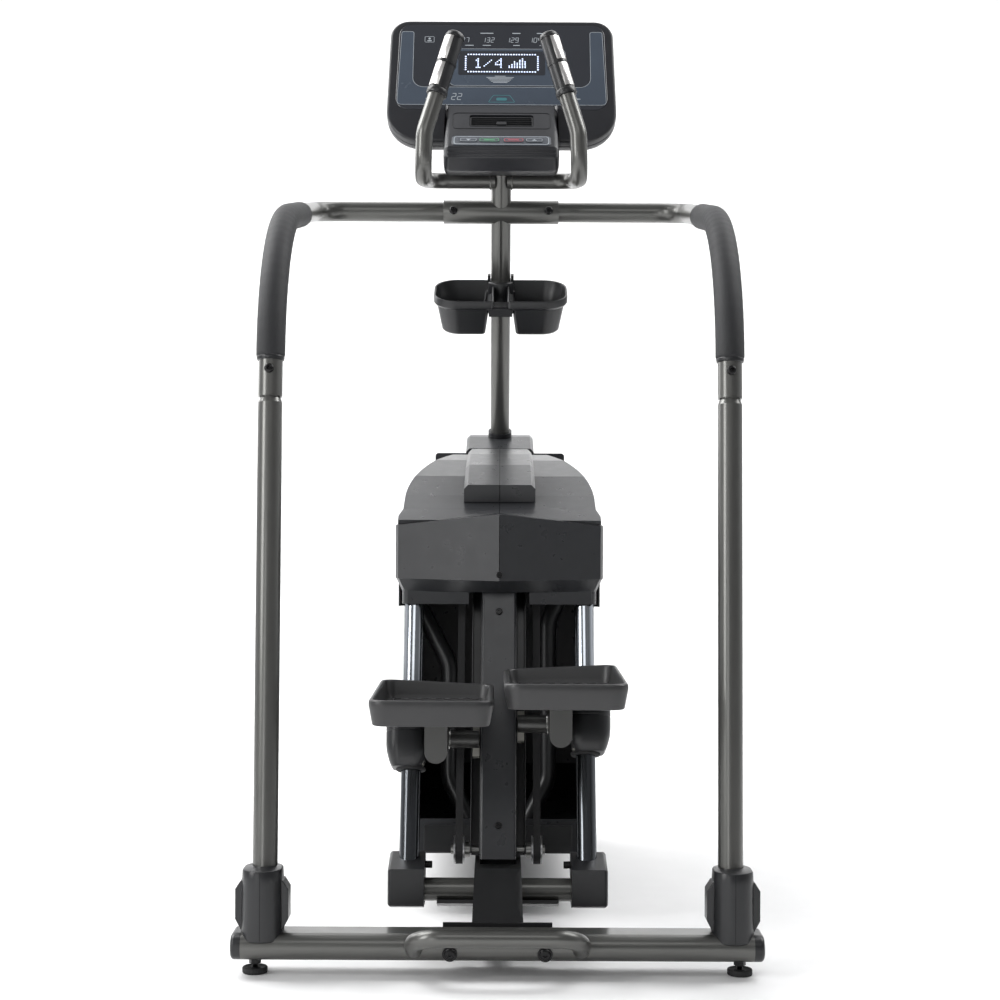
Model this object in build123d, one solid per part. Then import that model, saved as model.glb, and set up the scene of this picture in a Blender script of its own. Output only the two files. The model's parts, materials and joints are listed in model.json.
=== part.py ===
from build123d import *
import os
from math import sin, cos, radians

# Commercial pedal stepper. Millimetres, +X to the user's right, +Y the way the user faces,
# +Z up. The origin is on the floor under the middle of the machine. Depths are measured
# forward from the rear face of the rear crossbar and turned into Y by at().

# ------------------------------------------------------------------ driving dimensions
WIDTH = 838.0                 # over the rear crossbar's end caps
REAR_OVERHANG = 64.0          # lift handle behind the crossbar
LENGTH = 1258.0               # lift handle to shroud nose
WALL = 2.5                    # wall of the structural tubes
SKIN = 3.0                    # wall of moulded covers
TUBE_OD = 40.0                # uprights, handrails and mast
HR_BAR_OD = 31.8              # heart-rate bar
GRIP_OD = 48.0                # foam on the handrails
HR_GRIP_OD = 37.0

CROSSBAR_DEPTH = 80.0
CROSSBAR_BOTTOM = 26.0
CROSSBAR_TOP = 68.0
CAP_LENGTH = 16.0
FOOT_X = 384.0
FOOT_OD = 40.0
STUD_R = 5.0

LEAN = 20.0                   # rails and column lean forward from vertical, degrees
SHAFT_DEPTH = 190.0           # lower cross shaft axis
SHAFT_HEIGHT = 100.0
SHAFT_OD = 38.0
RAIL_X = 149.0
RAIL_OD = 34.0
RAIL_TOP = 546.0              # along the rail from the shaft axis
RUN_FIT = 0.05                # radial clearance of the running fits
U_LEFT = 253.3                # carriage places along the rail at rest
U_RIGHT = 280.5
CROSS_TUBE_OD = 30.0

COLUMN_WIDTH = 60.0
COLUMN_NEAR, COLUMN_FAR = -18.0, 37.0   # faces, square to the rails
COLUMN_FOOT = 48.0
CHANNEL_WIDTH = 17.0
CHANNEL_WALL = 2.2
HEAD_PLATE = 7.0
PEDAL_WIDTH = 193.0
PEDAL_INNER_X = 8.0
PEDAL_NEAR = -60.0            # depth of the pedal's rear edge for the left carriage at rest
PEDAL_FAR = 265.0

UPRIGHT_X = 369.5
UPRIGHT_LEAN = 0.1387         # depth gained for each unit of height
UPRIGHT_SPREAD = 0.0117
NECK_HEIGHT = 908.0
SLEEVE_BOTTOM = 918.0
GRIP_BOTTOM = 984.0
RAIL_CORNER = (382.0, 202.0, 1216.0)
FRONT_CORNER = (380.0, 870.0, 1334.0)
BEND_R = 315.0
CORNER_R = 70.0
GRIP_END_DEPTH = 595.0
SLEEVE_HALF = 117.0

MAST_DEPTH = 870.0            # mast axis at the handrail sleeve
MAST_HEIGHT = 1334.0
MAST_LEAN = 0.4327            # depth lost for each unit of height
MAST_TOP = 1434.0
MAST_BOTTOM = 800.0

CONSOLE_BASE = (800.0, 1466.0)
CONSOLE_TILT = 23.6
CONSOLE_WIDTH = 468.0
CONSOLE_TALL = 297.0
CONSOLE_THICK = 44.0
POD_WIDTH = 228.0

SHROUD_HALF = 178.0
SHROUD_TOP = 850.0
NOSE_DEPTH = LENGTH - REAR_OVERHANG


def at(depth):
    """Y of a depth measured forward from the crossbar's rear face."""
    return depth + REAR_OVERHANG - LENGTH / 2


def spot(x, depth, height):
    return Vector(x, at(depth), height)


def box(x0, x1, d0, d1, z0, z1):
    """Box between two corners, the second pair being depths."""
    size = Box(x1 - x0, d1 - d0, z1 - z0)
    return Pos((x0 + x1) / 2, (at(d0) + at(d1)) / 2, (z0 + z1) / 2) * size


def rod(start, end, radius):
    """Solid round bar from one point to another."""
    axis = end - start
    base = Plane(origin=start, z_dir=axis)
    return extrude(base * Circle(radius), amount=axis.length)


def tube(points, bends, od, wall):
    """Bent round tube through the points, with one bend radius for each corner."""
    path = FilletPolyline(*points, radius=bends) if len(points) > 2 else Line(*points)
    start = Plane(origin=path @ 0, z_dir=path % 0)
    outer = sweep(start * Circle(od / 2), path=path)
    inner = sweep(start * Circle(od / 2 - wall), path=path)
    return outer - inner


def side_prism(outline, half, x_mid=0.0, inset=0.0):
    """Side outline of (depth, height) points, extruded across to both sides of x_mid."""
    face = make_face(Polyline(*[spot(x_mid - half, d, h) for d, h in outline], close=True))
    if inset:
        face = offset(face, -inset, kind=Kind.INTERSECTION)
    return extrude(face, amount=2 * half, dir=(1, 0, 0))


def both(make):
    """The left and right pieces of a mirrored pair."""
    return make(-1), make(1)


def group(*solids):
    return Compound(children=[s for shape in solids for s in shape.solids()])


lean_dir = Vector(0, sin(radians(LEAN)), cos(radians(LEAN)))
# Rail frame: x across, y square to the rails and forward, z up along them.
RAIL = Plane(origin=spot(0, SHAFT_DEPTH, SHAFT_HEIGHT), x_dir=(1, 0, 0), z_dir=lean_dir)


def rail_box(x0, x1, v0, v1, u0, u1, corner=0.0):
    shape = Box(x1 - x0, v1 - v0, u1 - u0)
    if corner:
        shape = fillet(shape.edges().filter_by(Axis.Z), corner)
    return RAIL * Pos((x0 + x1) / 2, (v0 + v1) / 2, (u0 + u1) / 2) * shape


def rail_rod(x, v, u0, u1, radius):
    return RAIL * Pos(x, v, (u0 + u1) / 2) * Cylinder(radius, u1 - u0)


def cross_rod(x0, x1, v, u, radius):
    """Round bar across the machine, placed in the rail frame."""
    return RAIL * Pos((x0 + x1) / 2, v, u) * Rot(0, 90, 0) * Cylinder(radius, x1 - x0)


parts = {}

# ------------------------------------------------------------------ base
CROSSBAR_MID = CROSSBAR_DEPTH / 2
CROSSBAR_Z = (CROSSBAR_BOTTOM + CROSSBAR_TOP) / 2
CROSSBAR_TALL = CROSSBAR_TOP - CROSSBAR_BOTTOM
BAR_BOLT_X = 74.5
BAR_BOLT_Z = 41.0
BAR_BOLT_HOLE_R = 5.5


def oval_bar(length, depth, tall, radius):
    profile = Plane.YZ * RectangleRounded(depth, tall, radius)
    return extrude(profile, amount=length / 2, both=True)


def rear_crossbar():
    place = Pos(0, at(CROSSBAR_MID), CROSSBAR_Z)
    length = WIDTH - 2 * CAP_LENGTH
    bar = place * oval_bar(length, CROSSBAR_DEPTH, CROSSBAR_TALL, 20)
    bore = place * oval_bar(length + 2, CROSSBAR_DEPTH - 2 * WALL, CROSSBAR_TALL - 2 * WALL, 17.5)
    handle_x, handle_od, handle_z = 131.0, 28.0, 77.0
    reach = handle_od / 2 - REAR_OVERHANG
    handle_path = [spot(-handle_x, 6, CROSSBAR_Z), spot(-handle_x, reach, handle_z),
                   spot(handle_x, reach, handle_z), spot(handle_x, 6, CROSSBAR_Z)]
    handle = tube(handle_path, [40, 40], handle_od, WALL)
    bar = bar + handle - bore
    for x in (-FOOT_X, FOOT_X):
        bar -= Pos(x, at(CROSSBAR_MID), CROSSBAR_BOTTOM) * Cylinder(STUD_R + 0.5, 20)
    for x in (-BAR_BOLT_X, BAR_BOLT_X):
        bar -= rod(spot(x, -5, BAR_BOLT_Z), spot(x, CROSSBAR_DEPTH + 5, BAR_BOLT_Z), BAR_BOLT_HOLE_R)
    return bar


def crossbar_cap(side):
    place = Pos(side * (WIDTH - CAP_LENGTH) / 2, at(CROSSBAR_MID), CROSSBAR_Z)
    cap = place * oval_bar(CAP_LENGTH, CROSSBAR_DEPTH, CROSSBAR_TALL, 20)
    outer_face = cap.faces().sort_by(Axis.X)[-1 if side > 0 else 0]
    cap = fillet(outer_face.edges(), 6)
    plug_x = side * (WIDTH / 2 - CAP_LENGTH - 5.5)
    plug = oval_bar(12, CROSSBAR_DEPTH - 2 * WALL - 0.6, CROSSBAR_TALL - 2 * WALL - 0.6, 17)
    return cap + Pos(plug_x, at(CROSSBAR_MID), CROSSBAR_Z) * plug


def levelling_foot(x, depth, bar_bottom):
    """Rubber-soled disc on a threaded stud with a lock nut under the bar."""
    disc = Cylinder(FOOT_OD / 2, 6, align=(Align.CENTER, Align.CENTER, Align.MIN))
    disc = fillet(disc.edges().sort_by(Axis.Z)[-1], 2)
    hub = Pos(0, 0, 6) * Cone(13, 8, 7, align=(Align.CENTER, Align.CENTER, Align.MIN))
    stud = Pos(0, 0, 13) * Cylinder(STUD_R, bar_bottom + 1, align=(Align.CENTER, Align.CENTER, Align.MIN))
    nut = Pos(0, 0, 15) * extrude(RegularPolygon(9, 6), amount=bar_bottom - 15.3)
    return Pos(x, at(depth), 0) * (disc + hub + stud + nut)


SPINE_HALF = 41.0
SPINE_BOTTOM = 34.0
FLANGE_THICK = 6.0
FRONT_BAR_DEPTH = 1110.0
FRONT_BAR_HALF = 178.0
FRONT_FOOT_X = 130.0
FRONT_BAR_BOTTOM, FRONT_BAR_TOP = 26.0, 66.0
WHEEL_X = 178.0
WHEEL_R = 27.0
WHEEL_AXLE = (1160.0, 36.0)     # depth and height
WHEEL_AXLE_R = 6.0


def base_frame():
    """Flange plate, spine, column foot and front crossbar welded into one piece."""
    flange_near = CROSSBAR_DEPTH + 0.3
    flange = box(-88, 88, flange_near, flange_near + FLANGE_THICK, 30, 70)
    spine_near, spine_far, spine_top = 86.0, 1150.0, 92.0
    outline = [(spine_near, SPINE_BOTTOM), (spine_near, 68), (160, 76), (420, spine_top),
               (spine_far, spine_top), (spine_far, SPINE_BOTTOM)]
    bore_low, bore_top = SPINE_BOTTOM + SKIN, spine_top - SKIN
    inner = [(80, bore_low), (80, 65), (160, 73), (420, bore_top), (spine_far - SKIN, bore_top),
             (spine_far - SKIN, bore_low)]
    spine = side_prism(outline, SPINE_HALF) - side_prism(inner, SPINE_HALF - WALL)
    low = Plane(origin=spot(0, 210, 66)) * Rectangle(83, 244)
    high = Plane(origin=spot(0, 245, 141)) * Rectangle(77, 168)
    foot = loft([low, high]) - side_prism(outline, SPINE_HALF + SKIN)
    bar_half = FRONT_BAR_HALF - 18
    near, far = FRONT_BAR_DEPTH - 20, FRONT_BAR_DEPTH + 20
    bar = box(-bar_half, bar_half, near, far, FRONT_BAR_BOTTOM, FRONT_BAR_TOP)
    bar_bore = box(-FRONT_BAR_HALF, FRONT_BAR_HALF, near + SKIN, far - SKIN, FRONT_BAR_BOTTOM + SKIN,
                   FRONT_BAR_TOP - SKIN)
    frame = flange + spine + foot + bar - bar_bore
    frame -= cross_rod(-60, 60, 0, 0, SHAFT_OD / 2)
    frame -= rail_box(-COLUMN_WIDTH / 2, COLUMN_WIDTH / 2, -24, COLUMN_FAR + 1, 40, 120)
    for x in (-BAR_BOLT_X, BAR_BOLT_X):
        frame -= rod(spot(x, 70, BAR_BOLT_Z), spot(x, 95, BAR_BOLT_Z), BAR_BOLT_HOLE_R)
    for x in (-FRONT_FOOT_X, FRONT_FOOT_X):
        frame -= Pos(x, at(FRONT_BAR_DEPTH), FRONT_BAR_BOTTOM) * Cylinder(STUD_R + 0.5, 20)
    for side in (-1, 1):
        ear_x = side * (WHEEL_X - 22)
        frame += box(ear_x - 2, ear_x + 2, far, far + 42, 24, 60)
        frame += rod(spot(ear_x, *WHEEL_AXLE), spot(side * (WHEEL_X + 14), *WHEEL_AXLE), WHEEL_AXLE_R)
        plate_mid = side * 71
        frame += rail_box(plate_mid - 30, plate_mid + 30, -16, 18, -25.5, -19.5)
    return frame


def transport_wheel(side):
    start = spot(side * (WHEEL_X - 12), *WHEEL_AXLE)
    end = spot(side * (WHEEL_X + 12), *WHEEL_AXLE)
    wheel = rod(start, end, WHEEL_R)
    wheel = fillet(wheel.edges().filter_by(GeomType.CIRCLE), 4)
    return wheel - rod(start - (side * 3, 0, 0), end + (side * 3, 0, 0), WHEEL_AXLE_R + RUN_FIT)


# ------------------------------------------------------------------ rails, shaft and column
COVER_X0, COVER_X1 = 122.0, 182.0
FOOT_SCREW = (205.0, 138.0)     # depth and height


def lower_shaft():
    return cross_rod(-170, 170, 0, 0, SHAFT_OD / 2) - cross_rod(-171, 171, 0, 0, SHAFT_OD / 2 - WALL)


def slide_rail(side):
    x = side * RAIL_X
    rail = rail_rod(x, 0, SHAFT_OD / 2 + 0.5, RAIL_TOP, RAIL_OD / 2)
    return rail - rail_rod(x, 0, SHAFT_OD / 2 - 1, RAIL_TOP + 1, RAIL_OD / 2 - WALL)


def rail_end_cover(side):
    """Cast foot that clamps the rail's end and closes the shaft's end."""
    outline = [(152, 80), (155, 140), (226, 156), (240, 150), (236, 80), (200, 74), (170, 74)]
    block = side_prism(outline, (COVER_X1 - COVER_X0) / 2, side * (COVER_X0 + COVER_X1) / 2)
    outer = block.faces().sort_by(Axis.X)[-1 if side > 0 else 0]
    block = fillet(outer.edges(), 6)
    block -= cross_rod(side * 118 - 52, side * 118 + 52, 0, 0, SHAFT_OD / 2)
    block -= rail_rod(side * RAIL_X, 0, 10, 120, RAIL_OD / 2)
    return block


def column():
    """Rectangular column with an outward-facing guide channel on each side."""
    half = COLUMN_WIDTH / 2
    outer = rail_box(-half, half, COLUMN_NEAR, COLUMN_FAR, COLUMN_FOOT, RAIL_TOP)
    bore = COLUMN_WIDTH / 2 - WALL
    inner = rail_box(-bore, bore, COLUMN_NEAR + WALL, COLUMN_FAR - WALL, COLUMN_FOOT - 1, RAIL_TOP + 1)
    post = outer - inner
    for side in (-1, 1):
        x_in, x_out = half, half + CHANNEL_WIDTH
        channel_foot = COLUMN_FOOT + 14
        body = rail_box(*sorted((side * x_in, side * x_out)), 16, COLUMN_FAR, channel_foot, RAIL_TOP)
        slot_ends = sorted((side * (x_in + CHANNEL_WALL), side * (x_out - CHANNEL_WALL)))
        slot = rail_box(*slot_ends, 15, COLUMN_FAR - WALL, channel_foot - 1, RAIL_TOP + 1)
        post += body - slot
    head_half = RAIL_X + RAIL_OD / 2
    post += rail_box(-head_half, head_half, -25, 12, RAIL_TOP, RAIL_TOP + HEAD_PLATE)
    return post - cross_rod(-50, 50, DRIVE_V, IDLER_U, IDLER_AXLE_R)


def column_cover():
    """Moulded front of the column, rounded along its rear edges."""
    half = COLUMN_WIDTH / 2
    cover = rail_box(-half, half, COLUMN_NEAR - 6, COLUMN_NEAR - 0.2, COLUMN_FOOT - 2, RAIL_TOP - 16)
    long_edges = cover.edges().filter_by(lambda e: e.length > 400)
    return fillet(long_edges.sort_by(Axis.Y)[:2], 4)


# ------------------------------------------------------------------ pedal carriages
ARM_X = 102.0
ARM_HALF = 18.5


def rail_point(u):
    """Point on the rail line, as (depth, height)."""
    return SHAFT_DEPTH + u * sin(radians(LEAN)), SHAFT_HEIGHT + u * cos(radians(LEAN))


PEDAL_FLOOR = 402.0           # underside of the left pedal at rest
PEDAL_TALL = 41.0
PEDAL_LIP = 27.0
PEDAL_BRIM = 28.0             # height where the flared wall turns upright
PEDAL_FLOOR_THICK = 9.0
PEDAL_WALL = 7.0
LIP_R = 200.0


def pedal(side, u):
    """Open tray with a raised rim, dipping at the near lip and at the far inner corner."""
    d_ref, h_ref = rail_point(U_LEFT)
    d_now, h_now = rail_point(u)
    shift, rise = d_now - d_ref, h_now - h_ref
    x_mid = side * (PEDAL_INNER_X + PEDAL_WIDTH / 2)
    length = PEDAL_FAR - PEDAL_NEAR
    base = RectangleRounded(PEDAL_WIDTH - 12, length - 10, 30)
    brim = RectangleRounded(PEDAL_WIDTH, length, 38)
    body = loft([Plane.XY * base, Plane.XY.offset(PEDAL_BRIM) * brim])
    body += extrude(Plane.XY.offset(PEDAL_BRIM) * brim, amount=PEDAL_TALL - PEDAL_BRIM)
    wall = 2 * PEDAL_WALL
    bowl_low = RectangleRounded(PEDAL_WIDTH - wall - 12, length - wall - 10, 24)
    bowl_high = RectangleRounded(PEDAL_WIDTH - wall, length - wall, 31)
    bowl_planes = Plane.XY.offset(PEDAL_FLOOR_THICK), Plane.XY.offset(PEDAL_TALL + 0.5)
    body -= loft([bowl_planes[0] * bowl_low, bowl_planes[1] * bowl_high])
    body -= Pos(side * 6, -length / 2, PEDAL_LIP + LIP_R) * Rot(90, 0, 0) * Cylinder(LIP_R, 50)
    half_x, half_y = side * PEDAL_WIDTH / 2, length / 2
    high = Vector(half_x, half_y, PEDAL_TALL)
    near = Vector(-half_x, -half_y, PEDAL_TALL)
    low = Vector(-half_x, half_y, PEDAL_TALL - 9)
    normal = (near - high).cross(low - high)
    slope = Plane(origin=low, z_dir=normal * (1 if normal.Z > 0 else -1))
    body -= slope * Box(4 * length, 4 * length, 60, align=(Align.CENTER, Align.CENTER, Align.MIN))
    place = spot(x_mid, (PEDAL_NEAR + PEDAL_FAR) / 2 + shift, PEDAL_FLOOR + rise)
    return Pos(place) * body


def carriage_frame(side, u):
    """Rail sleeve, cross tube, pedal arm and pedal plate welded together."""
    x_rail, x_arm = side * RAIL_X, side * ARM_X
    d_now, h_now = rail_point(u)
    sleeve = rail_rod(x_rail, 0, u - 44, u + 52, 24)
    ends = sorted((side * 33, side * (RAIL_X - 10)))
    cross = cross_rod(*ends, 0, u, CROSS_TUBE_OD / 2)
    bore_ends = sorted((side * 32, side * (RAIL_X - 30)))
    cross -= cross_rod(*bore_ends, 0, u, CROSS_TUBE_OD / 2 - 3)
    near, far = d_now - 160, d_now + 10
    arm_low, arm_high = h_now - 18 + ARM_HALF, h_now + 58
    arm = box(x_arm - ARM_HALF, x_arm + ARM_HALF, near, far, arm_low, arm_high)
    arm += rod(spot(x_arm, near, arm_low), spot(x_arm, far, arm_low), ARM_HALF)
    cut = box(x_arm - ARM_HALF + 3, x_arm + ARM_HALF - 3, near + 4, far + 5, arm_low, arm_high - 3)
    arm -= cut
    plate = box(*sorted((side * 62, side * 142)), near - 60, far - 24, arm_high, arm_high + 4.5)
    frame = sleeve + cross + arm + plate
    return frame - rail_rod(x_rail, 0, u - 50, u + 60, 20)


def carriage_bushes(side, u):
    """Two flanged nylon bushes that run on the rail."""
    x = side * RAIL_X
    made = []
    for mid, flange in ((u - 30, -1), (u + 38, 1)):
        bush = rail_rod(x, 0, mid - 14, mid + 14, 20)
        rim = mid + flange * 15.5
        bush += rail_rod(x, 0, rim - 1.5, rim + 1.5, 22)
        made.append(bush - rail_rod(x, 0, mid - 30, mid + 30, RAIL_OD / 2 + RUN_FIT))
    return group(*made)


def carriage_cover(side, u):
    """Moulded shell round the rail sleeve, open where the rail and cross tube pass."""
    x0, x1 = sorted((side * 121.5, side * 192))
    mid_x, wide = (x0 + x1) / 2, x1 - x0
    outer = Box(wide, 72, 112)
    outer = fillet(outer.edges().filter_by(Axis.Z), 22)
    outer = fillet(outer.faces().sort_by(Axis.Z)[0].edges(), 14)
    inner = Box(wide - 2 * SKIN, 72 - 2 * SKIN, 112 - 2 * SKIN)
    inner = fillet(inner.edges().filter_by(Axis.Z), 19)
    shell = RAIL * Pos(mid_x, -2, u + 4) * (outer - inner)
    shell -= rail_rod(side * RAIL_X, 0, u - 70, u + 80, 25)
    shell -= cross_rod(*sorted((side * 100, side * RAIL_X)), 0, u, CROSS_TUBE_OD / 2 + 0.4)
    shell -= box(x0 - 5, x1 + 5, 0, 600, rail_point(u)[1] + 58, rail_point(u)[1] + 140)
    return max(shell.solids(), key=lambda s: s.volume)


def guide_shoe(side, u):
    """Nylon shoe on the cross tube's inner end, running in the guide channel."""
    x0, x1 = sorted((side * (COLUMN_WIDTH / 2 + 2.7), side * (COLUMN_WIDTH / 2 + 14.3)))
    shoe = rail_box(x0, x1, 15.2, 33.6, u - 26, u + 26)
    neck = rail_box(x0, x1, 10, 16, u - 9, u + 9)
    return shoe + (neck - cross_rod(-200, 200, 0, u, CROSS_TUBE_OD / 2))


# ------------------------------------------------------------------ uprights and handrails
def upright_point(side, height, start=47.0):
    depth = CROSSBAR_MID + (height - start) * UPRIGHT_LEAN
    x = UPRIGHT_X + (height - start) * UPRIGHT_SPREAD
    return spot(side * x, depth, height)


def upright(side):
    foot = upright_point(side, CROSSBAR_TOP - 4)
    neck = upright_point(side, NECK_HEIGHT)
    neck_end = upright_point(side, NECK_HEIGHT + 9)
    top = upright_point(side, NECK_HEIGHT + 74)
    axis = neck - foot
    post = rod(foot, neck, TUBE_OD / 2)
    taper_faces = [Plane(origin=neck, z_dir=axis) * Circle(TUBE_OD / 2),
                   Plane(origin=neck_end, z_dir=axis) * Circle(TUBE_OD / 2 - 3)]
    post += loft(taper_faces)
    post += rod(neck_end, top, TUBE_OD / 2 - 3)
    post -= rod(upright_point(side, CROSSBAR_TOP - 20), upright_point(side, 1000), TUBE_OD / 2 - 5.5)
    return trim_to_bar(post, 0)


def trim_to_bar(shape, clear=0.4):
    """Cuts the rear crossbar's outside, with clearance, from a shape."""
    place = Pos(0, at(CROSSBAR_MID), CROSSBAR_Z)
    return shape - place * oval_bar(WIDTH, CROSSBAR_DEPTH + 2 * clear, CROSSBAR_TALL + 2 * clear, 20 + clear)


def upright_boot(side):
    """Two moulded halves that cover the upright's weld on the crossbar."""
    x = side * 371.5
    shell = box(x - 32.5, x + 32.5, -4, 78, 46, 168)
    shell = fillet(shell.edges().filter_by(Axis.Z), 14)
    shell = chamfer(shell.faces().sort_by(Axis.Z)[-1].edges(), 5)
    low, high = 64, 143
    ears = box(x - 42, x + 42, 20, 58, low, high)
    ears = fillet(ears.edges().filter_by(Axis.Y), 8)
    body = trim_to_bar(shell + ears)
    body -= rod(upright_point(side, 40), upright_point(side, 200), TUBE_OD / 2 + 0.4)
    seam = box(x - 0.4, x + 0.4, -10, 90, 20, 200)
    return group(*(body - seam).solids())


def rail_route(side):
    x_c, d_c, h_c = RAIL_CORNER
    x_f, d_f, h_f = FRONT_CORNER
    return spot(side * x_c, d_c, h_c), spot(side * x_f, d_f, h_f)


def handrail(side):
    start = upright_point(side, SLEEVE_BOTTOM)
    corner, front = rail_route(side)
    end = spot(side * 30, FRONT_CORNER[1], FRONT_CORNER[2])
    return tube([start, corner, front, end], [BEND_R, CORNER_R], TUBE_OD, WALL)


def handrail_grip(side):
    """Foam sleeve from above the joint, round the bend and along the side rail."""
    start = upright_point(side, GRIP_BOTTOM)
    corner, front = rail_route(side)
    share = (GRIP_END_DEPTH - RAIL_CORNER[1]) / (FRONT_CORNER[1] - RAIL_CORNER[1])
    end = corner + (front - corner) * share
    return tube([start, corner, end], [BEND_R], GRIP_OD, GRIP_OD / 2 - TUBE_OD / 2 - 0.3)


# ------------------------------------------------------------------ mast
def mast_point(height, x=0.0):
    return spot(x, MAST_DEPTH - (height - MAST_HEIGHT) * MAST_LEAN, height)


mast_axis = (mast_point(1400) - mast_point(1300)).normalized()


def mast():
    """Mast tube with the handrail sleeve and a console flange."""
    low, high = mast_point(MAST_BOTTOM), mast_point(MAST_TOP)
    post = rod(low, high, TUBE_OD / 2)
    sleeve_ends = [spot(x, FRONT_CORNER[1], FRONT_CORNER[2]) for x in (-SLEEVE_HALF, SLEEVE_HALF)]
    body = post + rod(*sleeve_ends, 24)
    body += Plane(origin=high, x_dir=(1, 0, 0), z_dir=mast_axis) * Box(56, 40, 6)
    body -= rod(*sleeve_ends, TUBE_OD / 2 + 0.25)
    bore_end = mast_point(FRONT_CORNER[2] - 30)
    body -= rod(low, bore_end, TUBE_OD / 2 - WALL)
    return body


def mast_gasket():
    low, high = mast_point(872), mast_point(893)
    return rod(low, high, 25) - rod(mast_point(860), mast_point(910), TUBE_OD / 2 + 0.3)


TRAY_HEIGHT = 1176.0
TRAY_WIDTH = 273.0
TRAY_DEPTH = 140.0
TRAY_TALL = 76.0
tray_tilt = radians(25.0)
TRAY = Plane(origin=spot(0, 887, TRAY_HEIGHT), x_dir=(1, 0, 0), z_dir=(0, -sin(tray_tilt), cos(tray_tilt)))


def cup_tray():
    """Two open bins either side of a collar that clamps the mast."""
    rim = Plane.XY * RectangleRounded(TRAY_WIDTH, TRAY_DEPTH, 48)
    tray = extrude(rim, amount=-16)
    for side in (-1, 1):
        top = Plane(origin=(side * 77, 0, -15)) * RectangleRounded(112, TRAY_DEPTH - 10, 42)
        foot = Plane(origin=(side * 72, 0, -TRAY_TALL)) * RectangleRounded(84, TRAY_DEPTH - 34, 34)
        tray += loft([top, foot])
    for side in (-1, 1):
        top = Plane(origin=(side * 77, 0, 1)) * RectangleRounded(108, TRAY_DEPTH - 9, 42)
        foot = Plane(origin=(side * 72, 0, -TRAY_TALL + 3)) * RectangleRounded(77, TRAY_DEPTH - 42, 30)
        tray -= loft([top, foot])
    tray = TRAY * tray
    tray += rod(mast_point(TRAY_HEIGHT - 38), mast_point(TRAY_HEIGHT + 34), 27)
    return tray - rod(mast_point(1000), mast_point(1320), TUBE_OD / 2 + 0.3)


# ------------------------------------------------------------------ heart-rate bars
HR_CROSS = (835.0, 1392.0)
HR_POINTS = [(148.0, 580.0, 1354.0), (145.0, 578.0, 1440.0), (89.0, 612.0, 1628.0)]


def hr_bar(side):
    start = spot(side * 12, *HR_CROSS)
    knee = spot(side * HR_POINTS[0][0], *HR_CROSS)
    low, bend, top = [spot(side * x, d, h) for x, d, h in HR_POINTS]
    bar = tube([start, knee, low, bend, top], [45, 42, 60], HR_BAR_OD, WALL)
    return bar - rod(mast_point(1300), mast_point(1500), TUBE_OD / 2)


def hr_grip(side):
    """Moulded grip over the bar's end, closed at the top."""
    _, bend, top = [spot(side * x, d, h) for x, d, h in HR_POINTS]
    axis = (top - bend).normalized()
    low = top - axis * 122
    shell = rod(low, top + axis * 7, HR_GRIP_OD / 2)
    shell = fillet(shell.edges().filter_by(GeomType.CIRCLE), 4)
    return shell - rod(low - axis * 5, top + axis * 0.4, HR_BAR_OD / 2 + 0.3)


# ------------------------------------------------------------------ console
tilt = radians(CONSOLE_TILT)
CONSOLE = Plane(origin=spot(0, *CONSOLE_BASE), x_dir=(1, 0, 0), z_dir=(0, -cos(tilt), sin(tilt)))


def console_outline(inset=0.0):
    """Rounded console outline, a little wider at the bottom."""
    half_low, half_top = CONSOLE_WIDTH / 2 - inset, CONSOLE_WIDTH / 2 - 5 - inset
    top = CONSOLE_TALL - inset
    points = [(-half_low, inset), (half_low, inset), (half_top, top), (-half_top, top)]
    face = make_face(Polyline(*points, close=True))
    corners = face.vertices().sort_by(Axis.Y)
    face = fillet(corners[:2], 74 - inset)
    return fillet(face.vertices().sort_by(Axis.Y)[-2:], 40 - inset)


LENS = (432.0, 210.0, 181.0)     # width, height and middle of the display lens


def console_housing():
    shell = extrude(console_outline(), amount=-CONSOLE_THICK)
    shell = fillet(shell.faces().sort_by(Axis.Z)[0].edges(), 14)
    cavity = extrude(Plane.XY.offset(-6) * console_outline(9), amount=-(CONSOLE_THICK - 9))
    shell -= cavity
    recess = Pos(0, LENS[2], -1.5) * extrude(RectangleRounded(LENS[0] + 0.6, LENS[1] + 0.6, 22.3), amount=3)
    shell -= recess
    return CONSOLE * shell


def console_lens():
    width, height, middle = LENS
    lens = Pos(0, middle, -1.5) * extrude(RectangleRounded(width, height, 22), amount=1.9)
    return CONSOLE * lens


def face_point(t, n=0.0):
    """Depth and height of a place on the console face, t up the face and n out of it."""
    depth = CONSOLE_BASE[0] + t * sin(tilt) - n * cos(tilt)
    height = CONSOLE_BASE[1] + t * cos(tilt) + n * sin(tilt)
    return depth, height


POD_FOOT = (720.0, 1440.0)
POD_HEAD = face_point(88, 0.4)
pod_run = Vector(0, POD_HEAD[0] - POD_FOOT[0], POD_HEAD[1] - POD_FOOT[1])
pod_dir = pod_run.normalized()
POD = Plane(origin=spot(0, *POD_FOOT), x_dir=(1, 0, 0), z_dir=(0, -pod_dir.Z, pod_dir.Y))
FAN_MID, FAN_WIDE, FAN_TALL = 95.0, 130.0, 46.0
KEY_MID = 20.0
# Middle across the panel and width of each key.
KEYS = {"key_down": (-65.0, 34.0), "key_start": (-24.0, 40.0), "key_stop": (24.0, 40.0),
        "key_up": (65.0, 34.0)}
KEY_TALL = 13.0


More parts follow.
